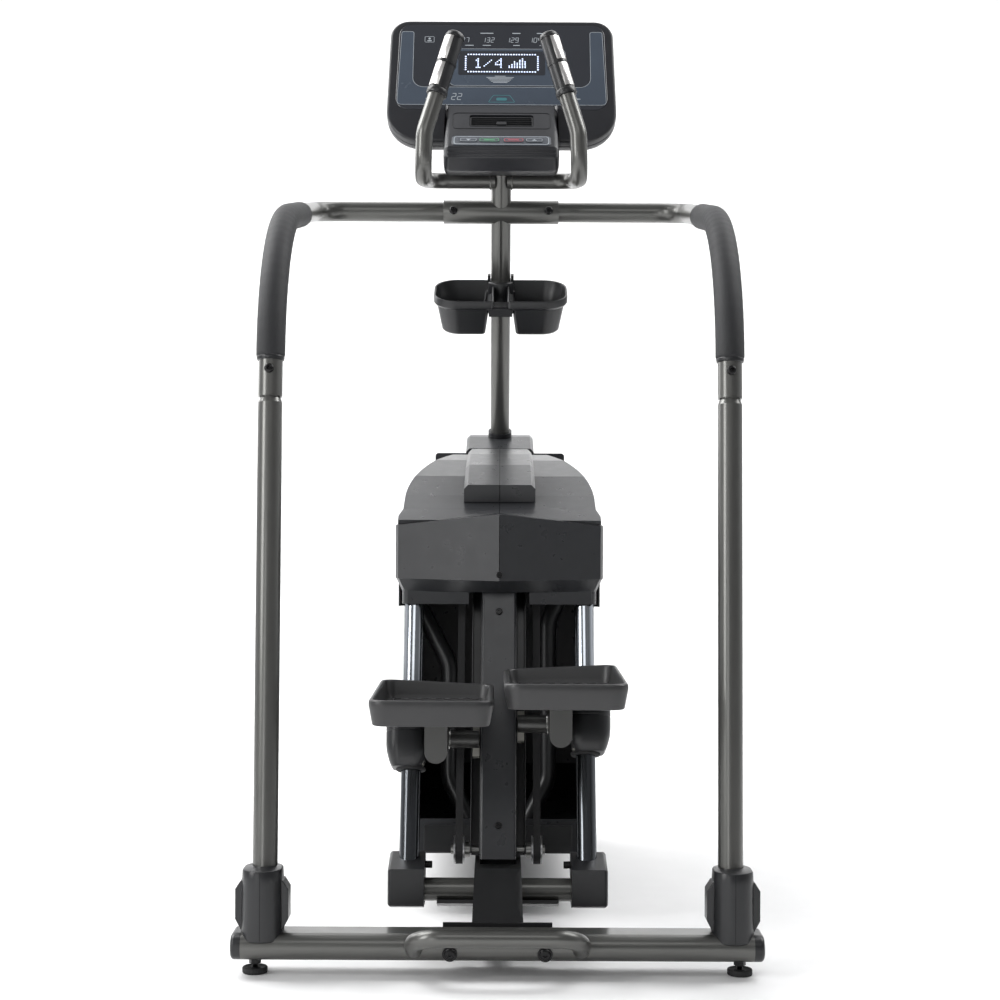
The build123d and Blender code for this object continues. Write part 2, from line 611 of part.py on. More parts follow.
def control_pod():
    """Wedge under the display that carries the fan outlet and the keypad."""
    outline = [POD_HEAD, POD_FOOT, (716, 1418), (738, 1395), (800, 1395), face_point(-4, 0.4)]
    body = side_prism(outline, POD_WIDTH / 2)
    front = body.edges().filter_by(lambda e: abs(e.tangent_at(0).X) < 0.1).group_by(Axis.Y)[0]
    body = fillet(front, 8)
    inner = [(POD_HEAD[0] - 3, POD_HEAD[1] - 7), (POD_FOOT[0] + 3, POD_FOOT[1] - 1), (719, 1419), (740, 1398),
             (797, 1398), face_point(-6, 3)]
    body -= side_prism(inner, POD_WIDTH / 2 - SKIN)
    body -= POD * Pos(0, FAN_MID, 0) * Box(FAN_WIDE, FAN_TALL, 30)
    body -= POD * Pos(0, KEY_MID, 1.4) * Box(196.6, 34.6, 4)
    for x, wide in KEYS.values():
        body -= POD * Pos(x, KEY_MID, -4) * Box(wide - 8, KEY_TALL - 4, 20)
    body -= rod(mast_point(1300), mast_point(1500), TUBE_OD / 2 + 1)
    return body


def keypad_panel():
    panel = POD * Pos(0, KEY_MID, 0.4) * Box(196, 34, 1.8)
    for x, wide in KEYS.values():
        panel -= POD * Pos(x, KEY_MID, 0) * Box(wide + 0.8, KEY_TALL + 0.8, 8)
    return panel


def key(name):
    x, wide = KEYS[name]
    cap = POD * Pos(x, KEY_MID, 1.6) * extrude(RectangleRounded(wide, KEY_TALL, 3), amount=1.2)
    stem = POD * Pos(x, KEY_MID, -1.5) * Box(wide - 9, KEY_TALL - 5, 6.4)
    return cap + stem


def fan_louvre():
    """Frame pivoting about a cross rod, with four vanes and a centre tab."""
    wide, tall = FAN_WIDE - 3, FAN_TALL - 12
    frame = Box(wide, tall, 8) - Box(wide - 6, tall - 5, 10)
    for i in range(4):
        vane_y = (i - 1.5) * (tall - 5) / 4
        frame += Pos(0, vane_y, 0) * Box(wide - 5, 1.4, 7)
    frame += Pos(0, -tall / 2 + 9, 3) * Box(20, 10, 7)
    frame += Rot(0, 90, 0) * Cylinder(2, FAN_WIDE - 0.4)
    return POD * Pos(0, FAN_MID, -6) * frame


FAN_DROP = 24.0
FAN_R = 8.0
FAN_ROTOR_MID = FAN_MID - 21


def fan_rotor():
    """Crossflow rotor lying behind the louvre."""
    ring = Cylinder(FAN_R, 90) - Cylinder(FAN_R - 2, 91)
    for i in range(8):
        ring -= Rot(0, 0, i * 45) * Pos(FAN_R - 1, 0, 0) * Box(5, 2, 82)
    rotor = ring + Cylinder(2, 96)
    for end in (-43, 43):
        rotor += Pos(0, 0, end) * Cylinder(FAN_R, 4)
    return POD * Pos(0, FAN_ROTOR_MID, -FAN_DROP) * Rot(0, 90, 0) * rotor


# ------------------------------------------------------------------ shroud
SHROUD_SIDE = [(448, 108), (1130, 108), (1180, 160), (NOSE_DEPTH, 300), (NOSE_DEPTH, 640), (1170, 750),
               (1110, 815), (1020, 838), (860, 838), (700, 824), (560, 792), (450, 756), (390, 734),
               (340, 713), (340, 696), (372, 690), (372, 560), (572, 548), (461, 173)]
DOME_HALF = 171.0             # above the shoulder
SHOULDER_LOW, SHOULDER_HIGH = 720.0, 732.0
DOME_RUN, DOME_RISE = 143.0, 100.0


def shroud_envelope(inset):
    """Side outline crossed with the domed rear-view outline, shrunk by inset."""
    wall = side_prism(SHROUD_SIDE, SHROUD_HALF + 5, inset=inset)
    half, dome_half, top = SHROUD_HALF - inset, DOME_HALF - inset, SHROUD_TOP - inset
    floor, spring, crown = 100 + inset, top - DOME_RISE, dome_half - DOME_RUN
    arch = Polyline((-dome_half, spring), (-dome_half, SHOULDER_HIGH), (-half, SHOULDER_LOW), (-half, floor),
                    (half, floor), (half, SHOULDER_LOW), (dome_half, SHOULDER_HIGH), (dome_half, spring))
    arch += EllipticalCenterArc((crown, spring), DOME_RUN, DOME_RISE, start_angle=0, arc_size=90)
    arch += Line((crown, top), (-crown, top))
    arch += EllipticalCenterArc((-crown, spring), DOME_RUN, DOME_RISE, start_angle=90, arc_size=90)
    return wall & extrude(Plane.XZ * make_face(arch.edges()), amount=LENGTH, both=True)


def rear_opening():
    outline = [(360, 168), (640, 168), (640, 560), (430, 704), (360, 704)]
    return side_prism(outline, SHROUD_HALF - SKIN)


NECK_HALF = 64.0
SEAM_DEPTH = 962.0            # where the neck meets the front hood
NECK_OUTLINE = [(416, 742), (412, 775), (560, 813), (700, 836), (860, 849), (SEAM_DEPTH, 852),
                (SEAM_DEPTH, 760), (416, 700)]
HOOD_MID_HALF = 71.0
HOOD_OUTLINE = [(SEAM_DEPTH, 853), (1064, 881), (1100, 886), (1122, 876), (1130, 836), (1130, 780),
                (SEAM_DEPTH, 760)]


def capped_prism(outline, half, bevel, edge_height, inset=0.0):
    """Side prism whose upper side edges are bevelled."""
    body = side_prism(outline, half - inset, inset=inset)
    across = body.edges().filter_by(lambda e: abs(e.tangent_at(0).X) < 0.1)
    return chamfer(across.filter_by(lambda e: e.center().Z > edge_height), bevel)


def neck_cover():
    """Raised spine from the belt cover to the middle of the front hood round the mast."""
    bevel, inner_bevel = 7.0, 5.5
    neck_side, hood_side = 785.0, 855.0     # heights that part the upper edges from the rest
    body = capped_prism(NECK_OUTLINE, NECK_HALF, bevel, neck_side)
    body -= capped_prism(NECK_OUTLINE, NECK_HALF, inner_bevel, neck_side, SKIN)
    hood = capped_prism(HOOD_OUTLINE, HOOD_MID_HALF, bevel, hood_side)
    hood -= capped_prism(HOOD_OUTLINE, HOOD_MID_HALF, inner_bevel, hood_side, SKIN)
    body = body + hood - shroud_envelope(-0.3)
    body -= rod(mast_point(700), mast_point(1000), 25.5)
    return max(body.solids(), key=lambda s: s.volume)


HOOD_HALF = 138.0
HOOD_TOP = 845.0


def hood_wing(side):
    """Block of the front hood that shows beside the neck cover."""
    wing = box(*sorted((side * (HOOD_MID_HALF + 0.5), side * HOOD_HALF)), 1050, 1108, 790, HOOD_TOP)
    outer = wing.faces().sort_by(Axis.X)[-1 if side > 0 else 0]
    wing = fillet(outer.edges().filter_by(Axis.Y).sort_by(Axis.Z)[-1], 7)
    return wing - shroud_envelope(0.5)


def shroud_half(side, envelope):
    shell = envelope + hood_wing(side) - rear_opening()
    shell -= rod(mast_point(700), mast_point(1000), 30)
    shell -= box(-31, 31, 1049, 1111, 100, 120)
    for x in (-1, 1):
        shell -= rod(stay_points(x, 434)[2], stay_points(x, 434)[3], 17)
    shell -= rear_belt_block(-0.4)
    shell -= belt_underside(-0.4, 0, 613, 584.5)
    x0, x1 = sorted((side * 0.3, side * 400))
    half = shell & box(x0, x1, 200, 1300, 0, 1000)
    return max(half.solids(), key=lambda s: s.volume)


BELT_MID, BELT_SIDE = 300.0, 334.0
BELT_HALF = 182.0


def belt_plan(inset):
    """Plan outline of the rear cover: a shallow V towards the user."""
    half = BELT_HALF - inset
    near, far = BELT_SIDE + inset, 470 - inset
    return [(0, BELT_MID + inset), (half - 5, near), (half, near + 14), (half, far), (-half, far),
            (-half, near + 14), (5 - half, near)]


def plan_face(points, height):
    return Pos(0, 0, height) * make_face(Polyline(*[(x, at(d)) for x, d in points], close=True))


def rear_belt_block(inset):
    """Solid shape of the rear cover, cut to its arched top edge."""
    half = BELT_HALF - inset
    block = extrude(plan_face(belt_plan(inset), 600), amount=200)
    low, top_mid, top_side = 611.0 + inset, 724.0 - inset, 703.0 - inset
    rear_points = [(0, low - 3), (half + 9, low), (half + 9, top_side), (0, top_mid), (-half - 9, top_side),
                   (-half - 9, low)]
    view = make_face(Polyline(*[spot(x, 200, z) for x, z in rear_points], close=True))
    return block & extrude(view, amount=500, dir=(0, 1, 0))


SKIRT_HALF = 170.0
SKIRT_NEAR = 338.0
SKIRT_BOTTOM = 566.0


def belt_underside(plan_inset, skirt_inset, top, bottom):
    """Sloping underside between the rear cover's V and its straight skirt."""
    half, near, far = SKIRT_HALF - skirt_inset, SKIRT_NEAR + skirt_inset, 448 - skirt_inset
    skirt = [(0, near), (half - 5, near), (half, near + 10), (half, far), (-half, far), (-half, near + 10),
             (5 - half, near)]
    return loft([plan_face(skirt, bottom), plan_face(belt_plan(plan_inset), top)], ruled=True)


def rear_belt_cover():
    """Rear cover over the rail heads, with a narrower skirt under it."""
    skirt = box(-SKIRT_HALF, SKIRT_HALF, SKIRT_NEAR, 450, SKIRT_BOTTOM, 612)
    skirt = fillet(skirt.edges().filter_by(Axis.Z), 10)
    body = rear_belt_block(0) + belt_underside(0.5, 1, 612, 586) + skirt
    body -= rear_belt_block(SKIN)
    body -= belt_underside(SKIN + 1, SKIN, 616, 592)
    body -= box(-SKIRT_HALF + SKIN, SKIRT_HALF - SKIN, SKIRT_NEAR + SKIN, 447, 550, 640)
    body -= box(-SKIRT_HALF, SKIRT_HALF, 400, 500, 540, 720)
    body -= box(-53, 53, SKIRT_NEAR, 460, 560, 625)
    return max(body.solids(), key=lambda s: s.volume)


def lower_panel():
    """Panel that closes the shroud's foot behind the rails."""
    points = [(-134, 160), (-134, 113), (0, 106), (134, 113), (134, 160)]
    face = make_face(Polyline(*[spot(x, 440, z) for x, z in points], close=True))
    panel = extrude(face, amount=4, dir=(0, 1, 0))
    return panel - box(-SPINE_HALF - 1, SPINE_HALF + 1, 430, 450, 90, 95)


# ------------------------------------------------------------------ frame inside the shroud
BEAM_LOW, BEAM_HIGH = 556.0, 600.0
DRIVE_V, DRIVE_U = 40.0, 600.0
PULLEY_R = 22.0
IDLER_U = 72.0
IDLER_AXLE_R = 8.0
BELT_X = 66.0
STEP_R = 40.0
ALT_DEPTH, ALT_HEIGHT = 640.0, 690.0
ALT_PULLEY_R = 16.0


def world_of(v, u):
    """Depth and height of a place in the rail frame."""
    depth = SHAFT_DEPTH + u * sin(radians(LEAN)) + v * cos(radians(LEAN))
    height = SHAFT_HEIGHT + u * cos(radians(LEAN)) - v * sin(radians(LEAN))
    return depth, height


DRIVE = world_of(DRIVE_V, DRIVE_U)


def drive_frame():
    """Front post, top beam, bearing plates and the socket for the mast."""
    post = box(-30, 30, 1050, 1110, 92.2, 800) - box(-27, 27, 1053, 1107, 90, 797)
    beam = box(-25, 25, 402, 1050, BEAM_LOW, BEAM_HIGH) - box(-22, 22, 398, 1052, BEAM_LOW + 3, BEAM_HIGH - 3)
    beam -= rail_box(-40, 40, -20, 37.4, 400, 620)
    frame = post + beam
    socket = rod(mast_point(786), mast_point(846), TUBE_OD / 2 + 4.5)
    frame += socket
    frame -= rod(mast_point(797), mast_point(900), TUBE_OD / 2 + 0.25)
    for side in (-1, 1):
        x0, x1 = sorted((side * 25, side * 31))
        frame += box(x0, x1, DRIVE[0] - 28, DRIVE[0] + 28, 575, DRIVE[1] + 26)
        frame += box(x0, x1, ALT_DEPTH - 20, ALT_DEPTH + 20, 575, ALT_HEIGHT - 62)
    frame -= rail_box(-50, 50, -30, 37.4, 380, RAIL_TOP + 7.4)
    return frame - rod(spot(-40, *DRIVE), spot(40, *DRIVE), 10 + RUN_FIT)


def drive_shaft():
    """Shaft on the bearing plates with the large step-up pulley."""
    shaft = rod(spot(-82, *DRIVE), spot(82, *DRIVE), 10)
    return shaft + rod(spot(-9, *DRIVE), spot(9, *DRIVE), STEP_R)


def toothed_wheel(x_mid, wide, depth, height, radius, bore, teeth=18):
    start, end = spot(x_mid - wide / 2, depth, height), spot(x_mid + wide / 2, depth, height)
    wheel = rod(start, end, radius)
    for i in range(teeth):
        angle = radians(i * 360 / teeth)
        offset_by = Vector(0, cos(angle) * radius, sin(angle) * radius)
        wheel -= rod(start + offset_by - (1, 0, 0), end + offset_by + (1, 0, 0), 1.3)
    flange_a = rod(start - (2, 0, 0), start, radius + 2.5)
    flange_b = rod(end, end + (2, 0, 0), radius + 2.5)
    wheel += flange_a + flange_b
    return wheel - rod(start - (9, 0, 0), end + (9, 0, 0), bore)


def drive_pulley(side):
    return toothed_wheel(side * BELT_X, 14, *DRIVE, PULLEY_R - 1, 10 + RUN_FIT)


def idler(side):
    depth, height = world_of(DRIVE_V, IDLER_U)
    return toothed_wheel(side * BELT_X, 14, depth, height, PULLEY_R - 1, IDLER_AXLE_R + RUN_FIT)


def idler_axle():
    """Cross axle of the two lower idlers, carried by the column."""
    depth, height = world_of(DRIVE_V, IDLER_U)
    axle = rod(spot(-80, depth, height), spot(80, depth, height), IDLER_AXLE_R)
    for side in (-1, 1):
        collar = rod(spot(side * 48, depth, height), spot(side * 56, depth, height), 13)
        axle += collar
    return axle


def lift_belt(side):
    """Closed belt loop between the drive pulley and the idler."""
    run = DRIVE_U - IDLER_U
    inner_r, outer_r = PULLEY_R - 0.4, PULLEY_R + 2.0
    loop = SlotCenterToCenter(run, 2 * outer_r) - SlotCenterToCenter(run, 2 * inner_r)
    loop = extrude(Rot(0, 0, 90) * loop, amount=6, both=True)
    place = RAIL * Pos(side * BELT_X, DRIVE_V, (DRIVE_U + IDLER_U) / 2) * Rot(90, 0, 0) * Rot(0, 90, 0)
    return place * loop


def belt_clamp(side, u):
    """Clamp that ties the belt's rear run to the cross tube."""
    x = side * BELT_X
    lug = rail_box(x - 8, x + 8, 8, DRIVE_V - PULLEY_R - 2.6, u - 10, u + 10)
    return lug - cross_rod(-200, 200, 0, u, CROSS_TUBE_OD / 2)


def alternator():
    """Brake generator with a ribbed body on the top beam."""
    body = rod(spot(12, ALT_DEPTH, ALT_HEIGHT), spot(100, ALT_DEPTH, ALT_HEIGHT), 58)
    body = fillet(body.edges().filter_by(GeomType.CIRCLE), 6)
    for i in range(5):
        x = 28 + i * 13
        ring = rod(spot(x, ALT_DEPTH, ALT_HEIGHT), spot(x + 5, ALT_DEPTH, ALT_HEIGHT), 60)
        ring -= rod(spot(x - 1, ALT_DEPTH, ALT_HEIGHT), spot(x + 6, ALT_DEPTH, ALT_HEIGHT), 54)
        body -= ring
    foot = box(25.3, 90, ALT_DEPTH - 30, ALT_DEPTH + 30, BEAM_HIGH + 0.3, ALT_HEIGHT - 45)
    foot -= box(20, 31.3, ALT_DEPTH - 40, ALT_DEPTH + 40, 570, ALT_HEIGHT - 61)
    body += foot
    return body - rod(spot(0, ALT_DEPTH, ALT_HEIGHT), spot(110, ALT_DEPTH, ALT_HEIGHT), 8 + RUN_FIT)


def alternator_rotor():
    shaft = rod(spot(-12, ALT_DEPTH, ALT_HEIGHT), spot(106, ALT_DEPTH, ALT_HEIGHT), 8)
    pulley = rod(spot(-9, ALT_DEPTH, ALT_HEIGHT), spot(9, ALT_DEPTH, ALT_HEIGHT), ALT_PULLEY_R)
    fan = rod(spot(101, ALT_DEPTH, ALT_HEIGHT), spot(105, ALT_DEPTH, ALT_HEIGHT), 46)
    for i in range(6):
        blade = Rot(i * 60, 0, 0) * Pos(3, 0, 32) * Box(12, 2.5, 24)
        fan += Pos(spot(105, ALT_DEPTH, ALT_HEIGHT)) * blade
    return shaft + pulley + fan


def stay_points(side, bend_height):
    return [spot(side * 158, 640, bend_height + 120), spot(side * 93, 610, bend_height),
            spot(side * 93, 590, 220), spot(side * 22, 560, 84)]


def frame_stay(side, bend_height):
    """Bent stay from the side shell down to the spine."""
    stay = tube(stay_points(side, bend_height), [60, 60], 32, WALL)
    return stay - box(-60, 60, 500, 620, 60, 92.3)


# ------------------------------------------------------------------ fasteners
def button_bolt(place, direction, radius, height, shank):
    """Button-head bolt whose head stands on a face and whose shank runs back into it."""
    base = Plane(origin=place, z_dir=direction)
    head = Cylinder(radius, height, align=(Align.CENTER, Align.CENTER, Align.MIN))
    head = fillet(head.edges().sort_by(Axis.Z)[-1], height * 0.55)
    socket = Pos(0, 0, height * 0.45) * extrude(RegularPolygon(radius * 0.45, 6), amount=height)
    body = head - socket
    if shank:
        body += Pos(0, 0, -shank / 2) * Cylinder(radius * 0.45, shank)
    return base * body


def frame_bolts():
    """Washered bolts through the crossbar and button bolts in the handrail joints."""
    made = []
    rear = Vector(0, -1, 0)
    for x in (-BAR_BOLT_X, BAR_BOLT_X):
        made.append(button_bolt(spot(x, -2, BAR_BOLT_Z), rear, 9, 6, 96))
        washer = rod(spot(x, -2, BAR_BOLT_Z), spot(x, -0.2, BAR_BOLT_Z), 12)
        made[-1] = made[-1] + washer
    for side in (-1, 1):
        axis = (upright_point(side, 1000) - upright_point(side, 900)).normalized()
        face_dir = Vector(0, -axis.Z, axis.Y)
        centre = upright_point(side, 962)
        bolt = button_bolt(centre + face_dir * (TUBE_OD / 2 - 2), face_dir, 8, 7.5, 0)
        made.append(bolt - rod(centre - axis * 20, centre + axis * 20, TUBE_OD / 2 + 0.3))
        bolt = button_bolt(spot(side * 97, FRONT_CORNER[1] - 22, FRONT_CORNER[2]), rear, 8.5, 8, 0)
        sleeve_ends = [spot(x, FRONT_CORNER[1], FRONT_CORNER[2]) for x in (-SLEEVE_HALF, SLEEVE_HALF)]
        made.append(bolt - rod(*sleeve_ends, 24.02))
    return group(*made)


def cover_screws():
    """Screws of the column cover, the belt cover and the rail feet."""
    made = []
    rear_lean = Vector(0, -cos(radians(LEAN)), sin(radians(LEAN)))
    for u in (102, 474):
        d, h = world_of(-24, u)
        made.append(button_bolt(spot(0, d, h), rear_lean, 6, 3.2, 0))
    made.append(button_bolt(spot(0, BELT_MID - 0.1, 619), Vector(0, -1, 0), 5.5, 3, 0))
    for side in (-1, 1):
        start = spot(side * (COVER_X0 - 12), *FOOT_SCREW)
        made.append(rod(start, spot(side * (COVER_X0 - 0.1), *FOOT_SCREW), 6))
    return group(*made)


# ------------------------------------------------------------------ assemble
parts["rear_crossbar"] = rear_crossbar()
parts["crossbar_caps"] = group(*both(crossbar_cap))
parts["base_frame"] = base_frame()
for label, side in (("left", -1), ("right", 1)):
    u = U_LEFT if side < 0 else U_RIGHT
    parts[f"{label}_rear_foot"] = levelling_foot(side * FOOT_X, CROSSBAR_MID, CROSSBAR_BOTTOM)
    parts[f"{label}_front_foot"] = levelling_foot(side * FRONT_FOOT_X, FRONT_BAR_DEPTH, FRONT_BAR_BOTTOM)
    parts[f"{label}_wheel"] = transport_wheel(side)
    parts[f"{label}_pedal"] = pedal(side, u)
    parts[f"{label}_carriage_frame"] = carriage_frame(side, u) + belt_clamp(side, u)
    parts[f"{label}_carriage_bushes"] = carriage_bushes(side, u)
    parts[f"{label}_carriage_cover"] = carriage_cover(side, u)
    parts[f"{label}_guide_shoe"] = guide_shoe(side, u)
    parts[f"{label}_drive_pulley"] = drive_pulley(side)
    parts[f"{label}_idler"] = idler(side)
parts["slide_rails"] = group(*both(slide_rail))
parts["rail_feet"] = group(*both(rail_end_cover))
parts["uprights"] = group(*both(upright))
parts["upright_boots"] = group(*both(upright_boot))
parts["handrails"] = group(*both(handrail))
parts["handrail_grips"] = group(*both(handrail_grip))
parts["lift_belts"] = group(*both(lift_belt))
parts["lower_shaft"] = lower_shaft()
parts["column"] = column()
parts["column_cover"] = column_cover()
parts["mast"] = mast()
parts["mast_gasket"] = mast_gasket()
parts["cup_tray"] = cup_tray()
parts["hr_bars"] = group(*both(hr_bar))
parts["hr_grips"] = group(*both(hr_grip))
parts["console_housing"] = console_housing()
parts["console_lens"] = console_lens()
parts["control_pod"] = control_pod()
parts["keypad_panel"] = keypad_panel()
for name in KEYS:
    parts[name] = key(name)
parts["fan_louvre"] = fan_louvre()
parts["fan_rotor"] = fan_rotor()
shroud_shell = shroud_envelope(0) - shroud_envelope(SKIN)
parts["left_shroud"] = shroud_half(-1, shroud_shell)
parts["right_shroud"] = shroud_half(1, shroud_shell)
parts["neck_cover"] = neck_cover()
parts["rear_belt_cover"] = rear_belt_cover()
parts["lower_panel"] = lower_panel()
parts["drive_frame"] = drive_frame()
parts["drive_shaft"] = drive_shaft()
parts["idler_axle"] = idler_axle()
parts["alternator"] = alternator()
parts["alternator_rotor"] = alternator_rotor()
parts["frame_stays"] = group(frame_stay(-1, 434), frame_stay(1, 520))
parts["bolts_and_screws"] = group(frame_bolts(), cover_screws())

os.makedirs("parts", exist_ok=True)
for name, shape in parts.items():
    export_step(shape, f"parts/{name}.step")
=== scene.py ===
import json
from math import cos, pi, radians, sin, sqrt, tan

import bmesh
import bpy
from mathutils import Matrix, Vector

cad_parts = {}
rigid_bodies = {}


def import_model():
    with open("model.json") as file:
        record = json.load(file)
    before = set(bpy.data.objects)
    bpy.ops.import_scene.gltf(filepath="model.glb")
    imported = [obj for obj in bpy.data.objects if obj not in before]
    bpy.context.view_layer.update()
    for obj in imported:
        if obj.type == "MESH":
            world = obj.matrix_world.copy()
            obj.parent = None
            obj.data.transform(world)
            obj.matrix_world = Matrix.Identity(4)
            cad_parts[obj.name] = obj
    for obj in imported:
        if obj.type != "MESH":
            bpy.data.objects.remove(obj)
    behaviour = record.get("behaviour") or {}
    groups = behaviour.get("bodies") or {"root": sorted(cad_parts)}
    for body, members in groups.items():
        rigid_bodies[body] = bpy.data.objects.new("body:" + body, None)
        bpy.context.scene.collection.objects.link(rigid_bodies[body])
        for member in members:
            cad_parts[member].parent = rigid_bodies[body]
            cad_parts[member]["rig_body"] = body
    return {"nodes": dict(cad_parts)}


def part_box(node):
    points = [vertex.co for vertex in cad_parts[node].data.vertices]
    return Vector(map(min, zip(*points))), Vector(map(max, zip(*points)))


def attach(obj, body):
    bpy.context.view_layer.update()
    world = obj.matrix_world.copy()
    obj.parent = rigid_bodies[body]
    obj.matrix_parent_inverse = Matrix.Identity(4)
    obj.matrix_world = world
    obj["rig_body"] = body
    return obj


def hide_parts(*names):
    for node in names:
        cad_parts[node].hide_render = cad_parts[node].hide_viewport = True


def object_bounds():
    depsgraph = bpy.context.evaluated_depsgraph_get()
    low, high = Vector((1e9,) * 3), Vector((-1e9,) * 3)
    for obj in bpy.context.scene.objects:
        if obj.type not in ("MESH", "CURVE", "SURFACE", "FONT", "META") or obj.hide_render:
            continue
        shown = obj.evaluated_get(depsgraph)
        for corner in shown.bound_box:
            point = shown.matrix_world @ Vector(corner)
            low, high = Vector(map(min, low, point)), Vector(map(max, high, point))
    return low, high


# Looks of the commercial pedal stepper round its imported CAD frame. Blender objects are in
# metres in the CAD frame. The builders below draw in millimetres, and piece() converts.

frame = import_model()
cad_low, cad_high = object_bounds()

MM = 0.001
RAIL_LEAN = 20.0              # degrees from vertical, leaning forward
CONSOLE_LEAN = 23.6
POD_LEAN = 47.08
TRAY_LEAN = 65.0


# ------------------------------------------------------------------ places
def middle(node):
    low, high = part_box(node)
    return (low + high) / 2


def face(origin, lean):
    """Placement with x across, y up a face that leans forward by lean, and z out of it."""
    s, c = sin(radians(lean)), cos(radians(lean))
    return Matrix.Translation(origin) @ Matrix(((1, 0, 0), (0, s, -c), (0, c, s))).to_4x4()


def local(place, depth, height):
    """Up-the-face and out-of-the-face millimetres of a depth and height."""
    point = place.inverted() @ Vector((0, at(depth) * MM, height * MM))
    return Vector((point.y, point.z)) / MM


def shift(x=0.0, y=0.0, z=0.0):
    """Move in millimetres inside a placement."""
    return Matrix.Translation((x * MM, y * MM, z * MM))


def along(start, end):
    """Placement at start, in millimetres, with z towards end and x as level as it can be."""
    z = (end - start).normalized()
    x = Vector((0, 1, 0)).cross(z).normalized()
    turn = Matrix((x, z.cross(x), z)).transposed()
    return Matrix.Translation(start * MM) @ turn.to_4x4()


LEVEL = Matrix.Identity(4)
REAR_FACE = cad_low.y + 0.064        # rear face of the rear crossbar


def at(depth):
    """Y in millimetres of a depth measured forward from the crossbar's rear face."""
    return REAR_FACE / MM + depth


def spot(x, depth, height):
    return Vector((x, at(depth), height))


# ------------------------------------------------------------------ outlines
def rounded(width, height, radius, mid=(0.0, 0.0), steps=6):
    """Rectangle with round corners, anticlockwise."""
    points = []
    for sx, sy, start in ((1, 1, 0), (-1, 1, 90), (-1, -1, 180), (1, -1, 270)):
        for i in range(steps + 1):
            angle = radians(start + 90 * i / steps)
            x = mid[0] + sx * (width / 2 - radius) + radius * cos(angle)
            y = mid[1] + sy * (height / 2 - radius) + radius * sin(angle)
            points.append(Vector((x, y)))
    return points


def softened(points, radii, steps=6, closed=True):
    """Outline or route whose corners are turned into arcs, in two or three dimensions."""
    made = []
    count = len(points)
    for i, radius in enumerate(radii):
        corner = Vector(points[i])
        if not radius or (not closed and i in (0, count - 1)):
            made.append(corner)
            continue
        back = (Vector(points[i - 1]) - corner).normalized()
        ahead = (Vector(points[(i + 1) % count]) - corner).normalized()
        half = back.angle(ahead) / 2
        centre = corner + (back + ahead).normalized() * (radius / sin(half))
        first = (corner + back * (radius / tan(half)) - centre).normalized()
        last = (corner + ahead * (radius / tan(half)) - centre).normalized()
        made += [centre + first.slerp(last, k / steps) * radius for k in range(steps + 1)]
    return made


def inset(outline, amount):
    """Closed anticlockwise outline moved inwards, point by point."""
    made = []
    for i, point in enumerate(outline):
        run = (outline[(i + 1) % len(outline)] - outline[i - 1]).normalized()
        made.append(point + Vector((-run.y, run.x)) * amount)
    return made


def raised(outline, z):
    return [Vector((p[0], p[1], z)) for p in outline]


# ------------------------------------------------------------------ mesh builders
def loft(bm, rings, coat=0, ends=(True, True), closed=True):
    """Skin through rings that have the same number of points."""
    rows = [[bm.verts.new(p) for p in ring] for ring in rings]
    for low, high in zip(rows, rows[1:]):
        last = len(low) if closed else len(low) - 1
        for i in range(last):
            j = (i + 1) % len(low)
            bm.faces.new((low[i], low[j], high[j], high[i])).material_index = coat
    if ends[0]:
        bm.faces.new(rows[0][::-1]).material_index = coat
    if ends[1]:
        bm.faces.new(rows[-1]).material_index = coat


def slab(bm, outline, low, high, coat=0):
    loft(bm, [raised(outline, low), raised(outline, high)], coat)


def box(bm, x, y, z, coat=0):
    """Block between pairs of x, y and z."""
    slab(bm, [(x[0], y[0]), (x[1], y[0]), (x[1], y[1]), (x[0], y[1])], z[0], z[1], coat)


def circle(radius, sides=32, mid=(0.0, 0.0)):
    turns = [2 * pi * i / sides for i in range(sides)]
    return [Vector((mid[0] + radius * cos(t), mid[1] + radius * sin(t))) for t in turns]


def lathe(bm, profile, mid=(0.0, 0.0), sides=32, coat=0, knurl=0.0):
    """Turned shape from (radius, z) pairs, capped, with an optional knurl on its widest part."""
    widest = max(radius for radius, _ in profile)
    rings = []
    for radius, z in profile:
        ring = circle(radius, sides, mid)
        if knurl and radius > 0.97 * widest:
            centre = Vector(mid)
            ring = [p - (p - centre) * knurl * (i % 4 < 2) for i, p in enumerate(ring)]
        rings.append(raised(ring, z))
    loft(bm, rings, coat)


def sweep(bm, route, radii, sides=32, coat=0):
    """Round bar along a route of three-dimensional points, its frame carried without twist."""
    normal = None
    rings = []
    for i, point in enumerate(route):
        run = (route[min(i + 1, len(route) - 1)] - route[max(i - 1, 0)]).normalized()
        if normal is None:
            normal = run.orthogonal().normalized()
        normal = (normal - run * normal.dot(run)).normalized()
        side = run.cross(normal)
        radius = radii[i]
        rings.append([point + (normal * cos(t) + side * sin(t)) * radius
                      for t in (2 * pi * k / sides for k in range(sides))])
    loft(bm, rings, coat)


def ribbon(bm, outline, width, z, coat=0):
    """Flat printed line that runs inside a closed outline."""
    rings = [raised(outline, z), raised(inset(outline, width), z)]
    loft(bm, rings, coat, ends=(False, False))


def patch(bm, outline, z, coat=0):
    bm.faces.new([bm.verts.new(p) for p in raised(outline, z)]).material_index = coat


def measured(route, places):
    """Points at the given distances along a route."""
    made = []
    gone, leg = 0.0, 0
    for place in places:
        while leg < len(route) - 2 and gone + (route[leg + 1] - route[leg]).length < place:
            gone += (route[leg + 1] - route[leg]).length
            leg += 1
        run = route[leg + 1] - route[leg]
        made.append(route[leg] + run * min(1.0, (place - gone) / run.length))
    return made


